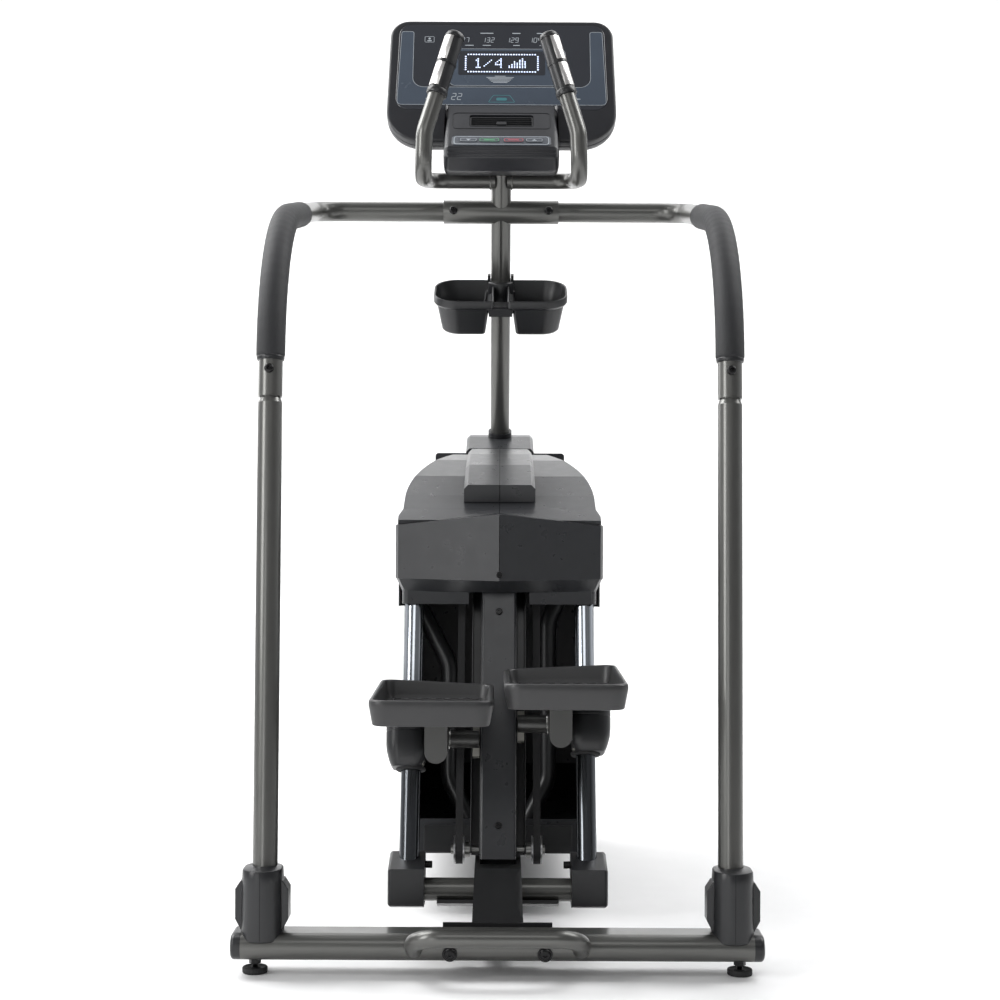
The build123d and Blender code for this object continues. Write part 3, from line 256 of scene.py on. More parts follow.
# ------------------------------------------------------------------ materials
def noise(tree, coords, scale, detail=3.0, stretch=None, lean=0.0):
    """Noise over the object's own coordinates, stretched along a leaning axis if asked."""
    source = coords
    if stretch:
        mapping = tree.nodes.new("ShaderNodeMapping")
        mapping.inputs["Rotation"].default_value = (radians(lean), 0, 0)
        mapping.inputs["Scale"].default_value = stretch
        tree.links.new(coords, mapping.inputs["Vector"])
        source = mapping.outputs["Vector"]
    made = tree.nodes.new("ShaderNodeTexNoise")
    made.inputs["Scale"].default_value = scale
    made.inputs["Detail"].default_value = detail
    tree.links.new(source, made.inputs["Vector"])
    return made.outputs["Fac"]


def spread(tree, source, low, high, start=0.3, end=0.7):
    """Maps a 0 to 1 input between two values."""
    made = tree.nodes.new("ShaderNodeMapRange")
    made.inputs["From Min"].default_value = start
    made.inputs["From Max"].default_value = end
    made.inputs["To Min"].default_value = low
    made.inputs["To Max"].default_value = high
    tree.links.new(source, made.inputs["Value"])
    return made.outputs["Result"]


def blended(tree, factor, first, second):
    """Colour mix of two fixed colours or sockets."""
    made = tree.nodes.new("ShaderNodeMix")
    made.data_type = "RGBA"
    tree.links.new(factor, made.inputs["Factor"])
    for socket, value in ((made.inputs[6], first), (made.inputs[7], second)):
        if isinstance(value, tuple):
            socket.default_value = (*value, 1.0)
        else:
            tree.links.new(value, socket)
    return made.outputs[2]


ROUGH_SPREAD = 0.02
SCUFF_RANGE = (0.64, 0.95)       # noise levels between which the scuffs fade in
PAINTED_SHADE_TONE = 0.22                 # share of the colour left in the painted shade low on the rails


def finish_of(name, colour, rough, metal=0.0, grain=0.0002, grain_scale=900.0, mottle=0.06,
              mottle_scale=14.0, stretch=None, lean=0.0, scuff=0.35, worn=None, clear=0.0,
              glow=None, dimple=None, dull=None):
    """Procedural material: mottled colour, uneven gloss, fine grain and light scuffs, with painted
    shade low down if asked.

    stretch and lean draw the marks out along a bar, dimple is the number of pores in a metre, and
    the last argument is the pair of heights in metres between which painted shade fades out: the
    colour is darkened below the lower height to stand in for dark reflections and shade.
    """
    made = bpy.data.materials.new(name)
    made.use_nodes = True
    tree = made.node_tree
    shader = tree.nodes["Principled BSDF"]
    coords = tree.nodes.new("ShaderNodeTexCoord").outputs["Object"]
    dark = tuple(c * (1 - mottle) for c in colour)
    light = tuple(min(1.0, c * (1 + mottle)) for c in colour)
    cloud = noise(tree, coords, mottle_scale, 4.0)
    tone = blended(tree, spread(tree, cloud, 0.0, 1.0), dark, light)
    marks = noise(tree, coords, 1.0 if stretch else 160.0, 6.0, stretch, lean)
    edge = spread(tree, marks, 0.0, scuff, *SCUFF_RANGE)
    tone = blended(tree, edge, tone, worn or tuple(min(1.0, c * 1.5 + 0.01) for c in colour))
    # Painted shade: the colour darkens towards the bottom of the part, standing in for the dark
    # reflection of the floor and the shade low down.
    if dull:
        parts = tree.nodes.new("ShaderNodeSeparateXYZ")
        tree.links.new(coords, parts.inputs["Vector"])
        painted_shade_mask = spread(tree, parts.outputs["Z"], 1.0, 0.0, *dull)
        tone = blended(tree, painted_shade_mask, tone, tuple(c * PAINTED_SHADE_TONE for c in colour))
    tree.links.new(tone, shader.inputs["Base Color"])
    gloss = noise(tree, coords, mottle_scale * 3, 5.0, stretch, lean)
    tree.links.new(spread(tree, gloss, rough - ROUGH_SPREAD, rough + ROUGH_SPREAD),
                   shader.inputs["Roughness"])
    fine = noise(tree, coords, grain_scale, 2.0)
    if dimple:
        cells = tree.nodes.new("ShaderNodeTexVoronoi")
        cells.inputs["Scale"].default_value = dimple
        tree.links.new(coords, cells.inputs["Vector"])
        joined = tree.nodes.new("ShaderNodeMath")
        tree.links.new(fine, joined.inputs[0])
        tree.links.new(cells.outputs["Distance"], joined.inputs[1])
        fine = joined.outputs["Value"]
    bump = tree.nodes.new("ShaderNodeBump")
    bump.inputs["Distance"].default_value = grain
    bump.inputs["Strength"].default_value = 0.5
    tree.links.new(fine, bump.inputs["Height"])
    tree.links.new(bump.outputs["Normal"], shader.inputs["Normal"])
    shader.inputs["Metallic"].default_value = metal
    shader.inputs["Coat Weight"].default_value = clear
    shader.inputs["Coat Roughness"].default_value = 0.08
    if glow:
        tree.links.new(blended(tree, spread(tree, cloud, 0.0, 0.2), colour, (1.0, 1.0, 1.0)),
                       shader.inputs["Emission Color"])
        shader.inputs["Emission Strength"].default_value = glow
    return made


coats = {}


def coat(name, *args, **values):
    coats[name] = finish_of(name, *args, **values)


RAIL_MARKS = (260.0, 260.0, 9.0)         # fine marks drawn out along the sloping rails
CROSS_MARKS = (9.0, 420.0, 420.0)        # and along the cross shafts
coat("grey_paint", (0.118, 0.118, 0.112), 0.33, 0.72, grain=0.00005, grain_scale=1800, mottle=0.04,
     scuff=0.05, clear=0.25)
# Carriage frames: the grey paint darkened to about half, a painted shade for arms that sit in
# shade.
coat("shaded_grey_paint", (0.060, 0.060, 0.058), 0.36, 0.6, grain=0.00005, grain_scale=1600, mottle=0.05,
     scuff=0.04, clear=0.15)
coat("dark_paint", (0.014, 0.0145, 0.0155), 0.36, 0.2, grain=0.00008, scuff=0.02, clear=0.1,
     worn=(0.025, 0.025, 0.027))
# The chrome gets painted shade below its middle height, for the dark floor it reflects and the
# shade of the carriage covers.
coat("chrome", (0.50, 0.53, 0.57), 0.16, 1.0, grain=0.00001, mottle=0.04, stretch=RAIL_MARKS,
     lean=RAIL_LEAN, scuff=0.25, worn=(0.28, 0.28, 0.27), dull=(0.36, 0.47))
coat("steel", (0.30, 0.30, 0.29), 0.32, 1.0, grain=0.00003, stretch=CROSS_MARKS, scuff=0.3,
     worn=(0.18, 0.17, 0.16))
coat("black_plastic", (0.0105, 0.011, 0.0125), 0.34, grain=0.00012, grain_scale=1300, scuff=0.08,
     worn=(0.03, 0.03, 0.032))
coat("shroud_plastic", (0.022, 0.023, 0.0255), 0.29, grain=0.00006, grain_scale=1500, mottle=0.04,
     scuff=0.01, worn=(0.032, 0.032, 0.034))
coat("console_plastic", (0.0165, 0.017, 0.020), 0.32, grain=0.00008, grain_scale=1700, mottle=0.05,
     scuff=0.05, worn=(0.03, 0.03, 0.033))
coat("lens", (0.026, 0.028, 0.034), 0.22, grain=0.000008, mottle=0.06, mottle_scale=5.0, scuff=0.0,
     clear=0.3)
coat("pedal_plastic", (0.024, 0.024, 0.025), 0.40, grain=0.00022, grain_scale=900, scuff=0.12,
     worn=(0.05, 0.05, 0.05))
coat("foam", (0.0115, 0.012, 0.0138), 0.66, grain=0.0004, grain_scale=1100, mottle=0.15, scuff=0.2,
     worn=(0.035, 0.035, 0.038), dimple=420.0)
coat("rubber", (0.012, 0.012, 0.013), 0.72, grain=0.0004, grain_scale=600, scuff=0.5,
     worn=(0.05, 0.048, 0.046))
coat("nylon", (0.45, 0.44, 0.40), 0.48, grain=0.0001, scuff=0.3, worn=(0.25, 0.24, 0.22))
coat("bolt_black", (0.012, 0.012, 0.0125), 0.28, 0.6, grain=0.00005, scuff=0.4,
     worn=(0.12, 0.12, 0.125))
coat("alloy", (0.45, 0.45, 0.46), 0.34, 1.0, grain=0.0001, scuff=0.5, worn=(0.25, 0.25, 0.25))
coat("key_plastic", (0.055, 0.062, 0.075), 0.42, grain=0.00008, scuff=0.15)
coat("zone_print", (0.052, 0.066, 0.088), 0.26, grain=0.00001, mottle=0.10, mottle_scale=7.0,
     scuff=0.03, clear=0.3)
coat("pale_print", (0.34, 0.37, 0.40), 0.40, grain=0.00001, scuff=0.2, worn=(0.26, 0.28, 0.30))
coat("teal_print", (0.04, 0.15, 0.17), 0.35, grain=0.00001, scuff=0.1, glow=0.12)
coat("green_print", (0.09, 0.36, 0.16), 0.4, grain=0.00001, scuff=0.1)
coat("red_print", (0.50, 0.08, 0.11), 0.4, grain=0.00001, scuff=0.1)
coat("led", (0.62, 0.72, 1.0), 0.4, grain=0.00001, scuff=0.0, glow=1.1)
coat("mirror_steel", (0.90, 0.88, 0.86), 0.30, 1.0, grain=0.000005, mottle=0.02, scuff=0.10,
     worn=(0.6, 0.58, 0.56))
coat("dark_gap", (0.004, 0.004, 0.005), 0.8, grain=0.0002, scuff=0.1)


def bevelled(target, width, segments):
    """Rounds the sharp edges of an object with a modifier."""
    bevel = target.modifiers.new("edge", "BEVEL")
    bevel.width = width * MM
    bevel.segments = segments
    bevel.limit_method = "ANGLE"
    bevel.angle_limit = radians(35)
    bevel.harden_normals = True


def piece(name, bm, place, coat_names, stands_for=(), body=None, edge=0.0, sharp=40.0):
    """Turns a millimetre mesh into a piece, placed, coated, bevelled and riding its body."""
    bmesh.ops.remove_doubles(bm, verts=bm.verts, dist=1e-3)
    bmesh.ops.recalc_face_normals(bm, faces=bm.faces)
    bm.transform(place @ Matrix.Scale(MM, 4))
    mesh = bpy.data.meshes.new(name)
    bm.to_mesh(mesh)
    bm.free()
    for coat_name in coat_names:
        mesh.materials.append(coats[coat_name])
    mesh.shade_smooth()
    mesh.set_sharp_from_angle(angle=radians(sharp))
    made = bpy.data.objects.new(name, mesh)
    bpy.context.scene.collection.objects.link(made)
    if edge:
        bevelled(made, edge, 2)
    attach(made, body or frame["nodes"][stands_for[0]]["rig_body"])
    if stands_for:
        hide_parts(*stands_for)
    return made


def carve(target, cutter_bm, place):
    """Cuts a closed millimetre mesh out of a piece."""
    bmesh.ops.recalc_face_normals(cutter_bm, faces=cutter_bm.faces)
    cutter_bm.transform(place @ Matrix.Scale(MM, 4))
    mesh = bpy.data.meshes.new("cutter")
    cutter_bm.to_mesh(mesh)
    cutter_bm.free()
    cutter = bpy.data.objects.new("cutter", mesh)
    bpy.context.scene.collection.objects.link(cutter)
    edge_stack = list(target.modifiers)
    for modifier in edge_stack:
        modifier.show_viewport = False
    cut = target.modifiers.new("cut", "BOOLEAN")
    cut.operation = "DIFFERENCE"
    cut.solver = "EXACT"
    cut.object = cutter
    graph = bpy.context.evaluated_depsgraph_get()
    result = bpy.data.meshes.new_from_object(target.evaluated_get(graph))
    target.modifiers.remove(cut)
    result.name = target.name
    target.data = result
    for modifier in edge_stack:
        modifier.show_viewport = True
    bpy.data.objects.remove(cutter)
    target.data.shade_smooth()
    target.data.set_sharp_from_angle(angle=radians(40))


# ------------------------------------------------------------------ CAD nodes that stay
NODE_COATS = {
    "grey_paint": ["rear_crossbar", "uprights", "handrails", "mast", "hr_bars", "lower_shaft"],
    "shaded_grey_paint": ["left_carriage_frame", "right_carriage_frame"],
    "dark_paint": ["base_frame", "column", "drive_frame", "frame_stays", "lower_panel"],
    "chrome": ["slide_rails"],
    "steel": ["drive_shaft", "idler_axle"],
    "black_plastic": ["crossbar_caps", "rail_feet", "mast_gasket", "fan_rotor"],
    "shroud_plastic": ["column_cover", "neck_cover", "rear_belt_cover", "left_shroud",
                       "right_shroud"],
    "nylon": ["left_carriage_bushes", "right_carriage_bushes", "left_guide_shoe",
              "right_guide_shoe"],
    "rubber": ["lift_belts", "left_wheel", "right_wheel"],
    "alloy": ["left_drive_pulley", "right_drive_pulley", "left_idler", "right_idler",
              "alternator", "alternator_rotor"],
    "bolt_black": ["bolts_and_screws"],
}
# Radius in millimetres of the rounded edges of the nodes that stay.
SOFT_EDGES = {"base_frame": 1.0, "rail_feet": 1.5, "column_cover": 1.0,
              "neck_cover": 2.0, "rear_belt_cover": 2.0, "left_carriage_frame": 0.8,
              "right_carriage_frame": 0.8, "column": 0.8, "lower_panel": 0.8, "mast": 0.8}

for coat_name, names in NODE_COATS.items():
    for name in names:
        shown = frame["nodes"][name]
        shown.data.materials.clear()
        shown.data.materials.append(coats[coat_name])
        if name in SOFT_EDGES:
            weld = shown.modifiers.new("weld", "WELD")
            weld.merge_threshold = 0.00001
            bevelled(shown, SOFT_EDGES[name], 3)


# ------------------------------------------------------------------ console
console = face(middle("console_lens"), CONSOLE_LEAN) @ shift(z=0.55)
CONSOLE_BOTTOM, CONSOLE_TOP = -181.0, 116.0       # from the lens's middle, up the face
CONSOLE_LOW_HALF, CONSOLE_TOP_HALF = 234.0, 229.0
CONSOLE_RADII = (74, 74, 40, 40)
CONSOLE_BACK = -44.0                              # out of the face
LENS_HALF_W, LENS_HALF_H = 216.0, 105.0


def console_outline(cut=0.0):
    low, high = CONSOLE_LOW_HALF - cut, CONSOLE_TOP_HALF - cut
    bottom, top = CONSOLE_BOTTOM + cut, CONSOLE_TOP - cut
    corners = [(-low, bottom), (low, bottom), (high, top), (-high, top)]
    return softened(corners, [max(6, r - cut) for r in CONSOLE_RADII], 12)


def lens_outline(cut=0.0):
    low, high = LENS_HALF_W - cut, LENS_HALF_W - 5 - cut
    tall = LENS_HALF_H - cut
    corners = [(-low, -tall), (low, -tall), (high, tall), (-high, tall)]
    return softened(corners, [26 - cut] * 4, 12)


def console_housing():
    """Shell with a proud rim, a parting line round its side and a rounded back."""
    bm = bmesh.new()
    rings = [raised(lens_outline(0.5), -1.4), raised(lens_outline(0.0), -1.4),
             raised(lens_outline(0.0), 0.0)]
    rim = [(7, 0), (3.2, -0.2), (1.2, -1.4), (0.2, -3.4), (0, -6), (0, -17)]
    parting_line = [(1.5, -17.6), (1.5, -19.4)]
    rear = [(0.2, -20), (0.2, -28), (1.5, -34), (5, -39.5), (10, -42.6), (16, CONSOLE_BACK)]
    for cut, z in rim + parting_line + rear:
        rings.append(raised(console_outline(cut), z))
    loft(bm, rings)
    return piece("console_shell", bm, console, ["console_plastic"], ["console_housing"], sharp=30)


def console_back():
    """Service panel, vents and screws on the side that faces away from the user."""
    bm = bmesh.new()
    back = CONSOLE_BACK
    panel = rounded(250, 150, 16, (0, -30))
    loft(bm, [raised(panel, back + 2), raised(panel, back - 2.4),
              raised(inset(panel, 2.5), back - 4.5)])
    made = piece("console_service_panel", bm, console, ["console_plastic"], body="frame", sharp=30)
    cutter = bmesh.new()
    for side in (-1, 1):
        for row in range(9):
            slot_line = rounded(44, 3.6, 1.7, (side * 74, -62 + row * 8), 4)
            slab(cutter, slot_line, back - 3.2, back - 9)
    carve(made, cutter, console)
    screws = bmesh.new()
    for x in (-112, 0, 112):
        for y in (-92, 32):
            head = [(4.2, back - 4.2), (4.2, back - 5.4), (3.2, back - 6.2)]
            socket = [(1.8, back - 6.2), (1.6, back - 5.4)]
            lathe(screws, head + socket, (x, y), 20)
    piece("console_back_screws", screws, console, ["bolt_black"], body="frame")


def console_lens():
    """Clear-coated window, a little crowned, with a fine edge."""
    bm = bmesh.new()
    rings = [raised(lens_outline(0.4), -1.3), raised(lens_outline(0.4), 0.0),
             raised(lens_outline(1.1), 0.4), raised(lens_outline(9), 0.45)]
    loft(bm, rings)
    return piece("console_window", bm, console, ["lens"], ["console_lens"], sharp=25)


PRINT = 0.60                     # height of the first print layer over the face
LAYER = 0.12
SCREEN_UP = 9.0                  # screen's middle above the window's


def band_outline(grow=0.0):
    """The pale band down both sides and along the bottom of the window."""
    outer_low, outer_high = 213.0 - grow, 207.0 - grow
    arm, floor, top, bottom = 26.0 - 2 * grow, 44.0, 88.0 - grow, -94.0 + grow
    inner_low, inner_high = outer_low - arm - 6, outer_high - arm
    ledge = bottom + floor - 2 * grow
    corners = [(-outer_low, bottom), (outer_low, bottom), (outer_high, top), (inner_high, top),
               (inner_low, ledge), (-inner_low, ledge), (-inner_high, top), (-outer_high, top)]
    return softened(corners, [9, 9, 5, 5, 22, 22, 5, 5], 7)


SEGMENTS = {"1": "bc", "2": "abged", "3": "abgcd", "4": "fgbc", "7": "abc", "9": "abcdfg",
            "0": "abcdef"}
# Each bar's middle, in widths across and half heights up, and whether it lies flat.
PLACES = {"a": (0, 1, 1), "b": (0.5, 0.5, 0), "c": (0.5, -0.5, 0), "d": (0, -1, 1),
          "e": (-0.5, -0.5, 0), "f": (-0.5, 0.5, 0), "g": (0, 0, 1)}


def digits(bm, text, x, y, tall, z, coat):
    """Slanted seven-bar numbers."""
    half, wide, thick = tall / 2, tall * 0.5, tall * 0.1
    slant = 0.14
    for place, letter in enumerate(text):
        for bar in SEGMENTS[letter]:
            bx, by, flat = PLACES[bar]
            mid = Vector((x + place * tall * 0.78 + bx * wide, y + by * half))
            reach = (wide if flat else half) / 2 - thick * 0.35
            run = Vector((reach, 0)) if flat else Vector((0, reach))
            rise = Vector((-run.y, run.x)).normalized() * thick / 2
            outline = [mid - run - rise, mid + run - rise, mid + run * 1.12, mid + run + rise,
                       mid - run + rise, mid - run * 1.12]
            patch(bm, [Vector((p.x + (p.y - y) * slant, p.y)) for p in outline], z, coat)


GLYPHS = {"1": ["010", "110", "010", "010", "010", "010", "111"],
          "/": ["00000", "00001", "00010", "00100", "01000", "10000", "00000"],
          "4": ["0001", "0011", "0101", "1001", "1111", "0001", "0001"]}


def dot_display(bm, z, coat):
    """Round lights: a closed track with a number and a bar chart inside it."""
    wide, tall, pitch, track_dot = 148.0, 43.0, 5.5, 1.75
    across, up = round(wide / pitch), round(tall / pitch)
    for i in range(1, across):
        for side in (-1, 1):
            place = (-wide / 2 + i * wide / across, side * tall / 2 + SCREEN_UP)
            patch(bm, circle(track_dot, 10, place), z, coat)
    for i in range(1, up):
        for side in (-1, 1):
            place = (side * wide / 2, -tall / 2 + SCREEN_UP + i * tall / up)
            patch(bm, circle(track_dot, 10, place), z, coat)
    x, step, dot = -52.0, 3.6, 1.5
    for letter in "1/4":
        rows = GLYPHS[letter]
        for j, row in enumerate(rows):
            for i, lit in enumerate(row):
                if lit == "1":
                    patch(bm, circle(dot, 8, (x + i * step, SCREEN_UP + (3 - j) * step)), z, coat)
        x += (len(rows[0]) + 1.5) * step
    for i, bars in enumerate((2, 3, 5, 4, 6, 7, 5)):
        for j in range(bars):
            patch(bm, circle(dot, 8, (x + 8 + i * 5.4, SCREEN_UP + (j - 3) * step)), z, coat)


def console_print():
    """Zones, rules, numbers and lights on the display window."""
    bm = bmesh.new()
    zone, pale, led, teal, dark = range(5)
    patch(bm, band_outline(), PRINT, zone)
    ribbon(bm, band_outline(), 0.9, PRINT + LAYER, pale)
    window = rounded(238, 92, 12, (12, -1))
    patch(bm, window, PRINT, zone)
    ribbon(bm, window, 0.8, PRINT + LAYER, pale)
    screen = rounded(178, 60, 4, (0, SCREEN_UP))
    patch(bm, screen, PRINT + LAYER, dark)
    dot_display(bm, PRINT + 2 * LAYER, led)
    for i, wide in enumerate((22, 56, 50, 44, 38, 30)):
        patch(bm, rounded(wide, 1.6, 0.6, (-3, -23.5 - i * 3.1), 2), PRINT + 2 * LAYER, pale)
    for text, x in (("27", -80), ("132", -37), ("129", 13), ("104", 60)):
        digits(bm, text, x, 67, 11.5, PRINT + LAYER, pale)
    for x, wide in ((-91, 14), (-31, 27), (30, 17), (91, 38)):
        patch(bm, rounded(wide, 2.2, 0.8, (x, 84), 2), PRINT + LAYER, pale)
    for x, wide in ((-67, 18), (-31, 17), (30, 14), (86, 17)):
        patch(bm, rounded(wide, 1.8, 0.8, (x, 53.5), 2), PRINT + LAYER, pale)
    badge = rounded(20, 15, 3, (-149, 68))
    ribbon(bm, badge, 1.0, PRINT + LAYER, pale)
    patch(bm, circle(2.6, 16, (-149, 70)), PRINT + LAYER, pale)
    patch(bm, rounded(9, 3, 1.2, (-149, 64.5), 3), PRINT + LAYER, pale)
    digits(bm, "22", -97, -74, 15, PRINT + 2 * LAYER, pale)
    dome = softened([(-28, -88), (28, -88), (17, -70), (-17, -70)], [2, 2, 5, 5], 5)
    ribbon(bm, dome, 1.2, PRINT + 2 * LAYER, teal)
    patch(bm, rounded(22, 7, 3.2, (0, -80), 5), PRINT + 2 * LAYER, teal)
    for x, y, wide in ((-151, -79, 6), (154, -79, 12)):
        patch(bm, rounded(wide, 2.4, 1, (x, y), 2), PRINT + 2 * LAYER, pale)
    inks = ["zone_print", "pale_print", "led", "teal_print", "lens"]
    return piece("console_graphics", bm, console, inks, body="frame")


console_housing()
console_back()
console_lens()
console_print()


# ------------------------------------------------------------------ control pod
keypad = face(middle("keypad_panel"), POD_LEAN) @ shift(z=-0.4)
POD_HALF = 114.0
FAN_UP = 75.0                    # fan outlet's middle above the keypad's


def pod_shell():
    """Wedge with rounded ends, open for the fan outlet."""
    corners = [(835, 1546.8), (720, 1440), (716, 1418), (738, 1395), (800, 1395), (798, 1462.5)]
    outline = softened([local(keypad, d, h) for d, h in corners], [1, 7, 6, 10, 10, 4], 6)
    bm = bmesh.new()
    rings = []
    rounding = [(0, 12), (0.9, 7.5), (3.5, 3.5), (7.5, 0.9), (12, 0)]
    stations = [(-POD_HALF + run, cut) for run, cut in rounding]
    stations += [(POD_HALF - run, cut) for run, cut in rounding[::-1]]
    for x, cut in stations:
        ring = inset(outline, cut * orientation(outline))
        rings.append([Vector((x, p.x, p.y)) for p in ring])
    loft(bm, rings)
    made = piece("pod_shell", bm, keypad, ["console_plastic"], ["control_pod"], sharp=35)
    cutter = bmesh.new()
    slab(cutter, rounded(128, 44, 6, (0, FAN_UP)), -26, 8)
    carve(made, cutter, keypad)
    return made


def pod_bands():
    """Two proud bands round the pod's lip with a parting line between them."""
    bm = bmesh.new()
    low, high = [local(keypad, d, h) for d, h in ((716.6, 1421), (719.4, 1436))]
    out = Vector((low.y - high.y, high.x - low.x)).normalized()
    if out.y < 0:
        out = -out
    for start, end in ((0.02, 0.42), (0.58, 0.98)):
        a, b = low.lerp(high, start), low.lerp(high, end)
        crown = [a.lerp(b, share) + out * 1.1 for share in (0.2, 0.8)]
        section = [a - out, a + out * 0.5, *crown, b + out * 0.5, b - out]
        rings = []
        for x, shrink in ((-107, 0.0), (-103, 1.0), (103, 1.0), (107, 0.0)):
            rings.append([Vector((x, *(p - out * (1 - shrink) * 1.2))) for p in section])
        loft(bm, rings)
    piece("pod_bands", bm, keypad, ["console_plastic"], body="frame", sharp=50)


def orientation(outline):
    """1 for an anticlockwise outline, -1 for a clockwise one."""
    area = sum(a.x * b.y - b.x * a.y for a, b in zip(outline, outline[1:] + outline[:1]))
    return 1 if area > 0 else -1


pod_shell()
pod_bands()


KEY_TALL = 13.0
KEY_PRINT_UP = 2.96              # height of the keys' print over the pod's face
KEY_PLACES = {"key_down": (-65.0, 34.0), "key_start": (-24.0, 40.0), "key_stop": (24.0, 40.0),
              "key_up": (65.0, 34.0)}                # middle across the pod, and width
KEY_PRINTS = {"key_down": "pale_print", "key_start": "green_print", "key_stop": "red_print",
              "key_up": "pale_print"}


def keypad_label():
    """Slate label let into the pod, with an outlined strip and holes for the keys."""
    bm = bmesh.new()
    label = rounded(195.6, 33.6, 8)
    loft(bm, [raised(label, -0.4), raised(label, 0.9), raised(inset(label, 0.5), 1.3)])
    made = piece("keypad_label", bm, keypad, ["key_plastic"], ["keypad_panel"], sharp=30)
    holes = bmesh.new()
    for x, wide in KEY_PLACES.values():
        slab(holes, rounded(wide + 0.8, KEY_TALL + 0.8, 4, (x, 0)), -3, 3)
    carve(made, holes, keypad)
    rule = bmesh.new()
    ribbon(rule, rounded(188, 29, 7), 1.5, 1.42)
    piece("keypad_rule", rule, keypad, ["pale_print"], body="frame")


def key(name):
    """Domed cap on a stem, with a coloured rule and a generic sign."""
    x, wide = KEY_PLACES[name]
    bm = bmesh.new()
    cap = rounded(wide, KEY_TALL, 4, (x, 0))
    dome = [(0.25, 2.5), (0.9, 2.75), (2.2, 2.82)]
    loft(bm, [raised(cap, 1.6), raised(cap, 2.1)] + [raised(inset(cap, cut), z) for cut, z in dome])
    slab(bm, rounded(wide - 9, KEY_TALL - 5, 2, (x, 0)), -4.6, 1.7)
    ribbon(bm, inset(cap, 1.3), 0.9, KEY_PRINT_UP, 1)
    if name in ("key_down", "key_up"):
        tip = 2.6 if name == "key_up" else -2.6
        arrow = [Vector((x - 5, -tip)), Vector((x + 5, -tip)), Vector((x, tip))]
        patch(bm, arrow, KEY_PRINT_UP, 1)
    else:
        patch(bm, rounded(wide * 0.55, 2.2, 0.8, (x, 0), 3), KEY_PRINT_UP, 1)
    piece(name + "_cap", bm, keypad, ["key_plastic", KEY_PRINTS[name]], [name], sharp=30)


def louvre():
    """Framed vanes with a thumb tab, over a well whose floor clears their tilt."""
    bm = bmesh.new()
    outer, inner = rounded(127, 34, 4), rounded(121, 29, 2)
    frame_ring = [raised(outer, -4), raised(outer, 4), raised(inner, 4), raised(inner, -4)]
    loft(bm, frame_ring + [raised(outer, -4)], ends=(False, False))
    for i in range(4):
        mid = (i - 1.5) * 7.25
        blade = [(-61, mid - 0.8), (61, mid - 0.8), (61, mid + 0.8), (-61, mid + 0.8)]
        nose = [(x, mid + (y - mid) * 0.3) for x, y in blade]
        loft(bm, [raised(blade, -3.5), raised(blade, 2.6), raised(nose, 3.5)])
    slab(bm, rounded(20, 10, 2, (0, -8)), -0.5, 6.0)
    piece("fan_vanes", bm, keypad @ shift(y=FAN_UP, z=-6), ["black_plastic"], ["fan_louvre"],
          edge=0.3)
    well = bmesh.new()
    outline = rounded(127.4, 43, 5)
    loft(well, [raised(outline, -16), raised(outline, -15.5)])
    outer, inner = rounded(196, 60, 10), rounded(193.6, 57.6, 9)
    loft(well, [raised(outer, 0.05), raised(outer, 0.7), raised(inner, 0.7), raised(inner, 0.05)],
         ends=(False, False))
    piece("fan_well", well, keypad @ shift(y=FAN_UP), ["black_plastic"], body="frame")


keypad_label()
for key_name in KEY_PLACES:
    key(key_name)
louvre()


# ------------------------------------------------------------------ heart-rate grips
HR_BEND, HR_TOP = (145.0, 578.0, 1440.0), (89.0, 612.0, 1628.0)
HR_CROSS = (835.0, 1392.0)       # depth and height of the cross bar
HR_BAR_R = 15.9
GRIP_LONG = 122.0
PLATE_MID = -35.0                # degrees from outwards towards the user
PLATE_REACH = 52.0


def hr_grip(side):
    """Moulded grip with a collar, a crowned end and two bright contact plates."""
    bend = spot(side * HR_BEND[0], *HR_BEND[1:])
    top = spot(side * HR_TOP[0], *HR_TOP[1:])
    low = top - (top - bend).normalized() * GRIP_LONG
    place = along(low, top)
    bm = bmesh.new()
    collar = [(16.3, -1), (19.3, -0.7), (20.0, 0.8), (20.0, 8.5), (19.2, 10), (17.9, 10.6)]
    barrel = [(17.9, 12.6), (18.2, 13), (18.2, 119), (17.8, 123)]
    crown = [(16.4, 126.6), (13.5, 129), (8, 130.6), (2, 131)]
    lathe(bm, collar + barrel + crown, sides=48)
    for start, end in ((61.5, 67.5), (117.0, 121.0)):
        lathe(bm, [(18.0, start), (19.3, start + 0.5), (19.3, end - 0.5), (18.0, end)], sides=48)
    label = "right" if side > 0 else "left"
    grip = piece(label + "_hr_grip_body", bm, place, ["black_plastic"], body="frame", sharp=30)
    plates = bmesh.new()
    centre = PLATE_MID if side > 0 else 180 - PLATE_MID
    for start, end in ((14.0, 61.0), (68.0, 116.5)):
        rings = []
        for k in range(21):
            turn = radians(centre + PLATE_REACH * (k - 10) / 10)
            section = [(17.9, start), (19.0, start + 0.2), (19.25, start + 0.8), (19.25, end - 0.8),
                       (19.0, end - 0.2), (17.9, end)]
            rings.append([Vector((r * cos(turn), r * sin(turn), z)) for r, z in section])
        loft(plates, rings)
    piece(label + "_hr_plates", plates, place, ["mirror_steel"], body="frame", sharp=30)
    return grip


def beads(bm, radius, thick, z=0.0, sides=72):
    """Ring of overlapping weld beads."""
    rings = []
    for k in range(sides):
        turn = 2 * pi * k / sides
        swell = thick * (1 + 0.18 * sin(turn * 19))
        ring = []
        for i in range(8):
            t = 2 * pi * i / 8
            reach = radius + thick * 0.3 + swell * cos(t)
            ring.append(Vector((reach * cos(turn), reach * sin(turn), z + swell * sin(t))))
        rings.append(ring)
    loft(bm, rings + rings[:1], ends=(False, False))


grips = [hr_grip(side) for side in (-1, 1)]
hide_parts("hr_grips")

for side, label in ((-1, "left"), (1, "right")):
    bm = bmesh.new()
    beads(bm, HR_BAR_R, 1.5)
    start = spot(side * 21.5, *HR_CROSS)
    outwards = along(start, start + Vector((side, 0, 0)))
    piece(label + "_hr_weld", bm, outwards, ["grey_paint"], body="frame")


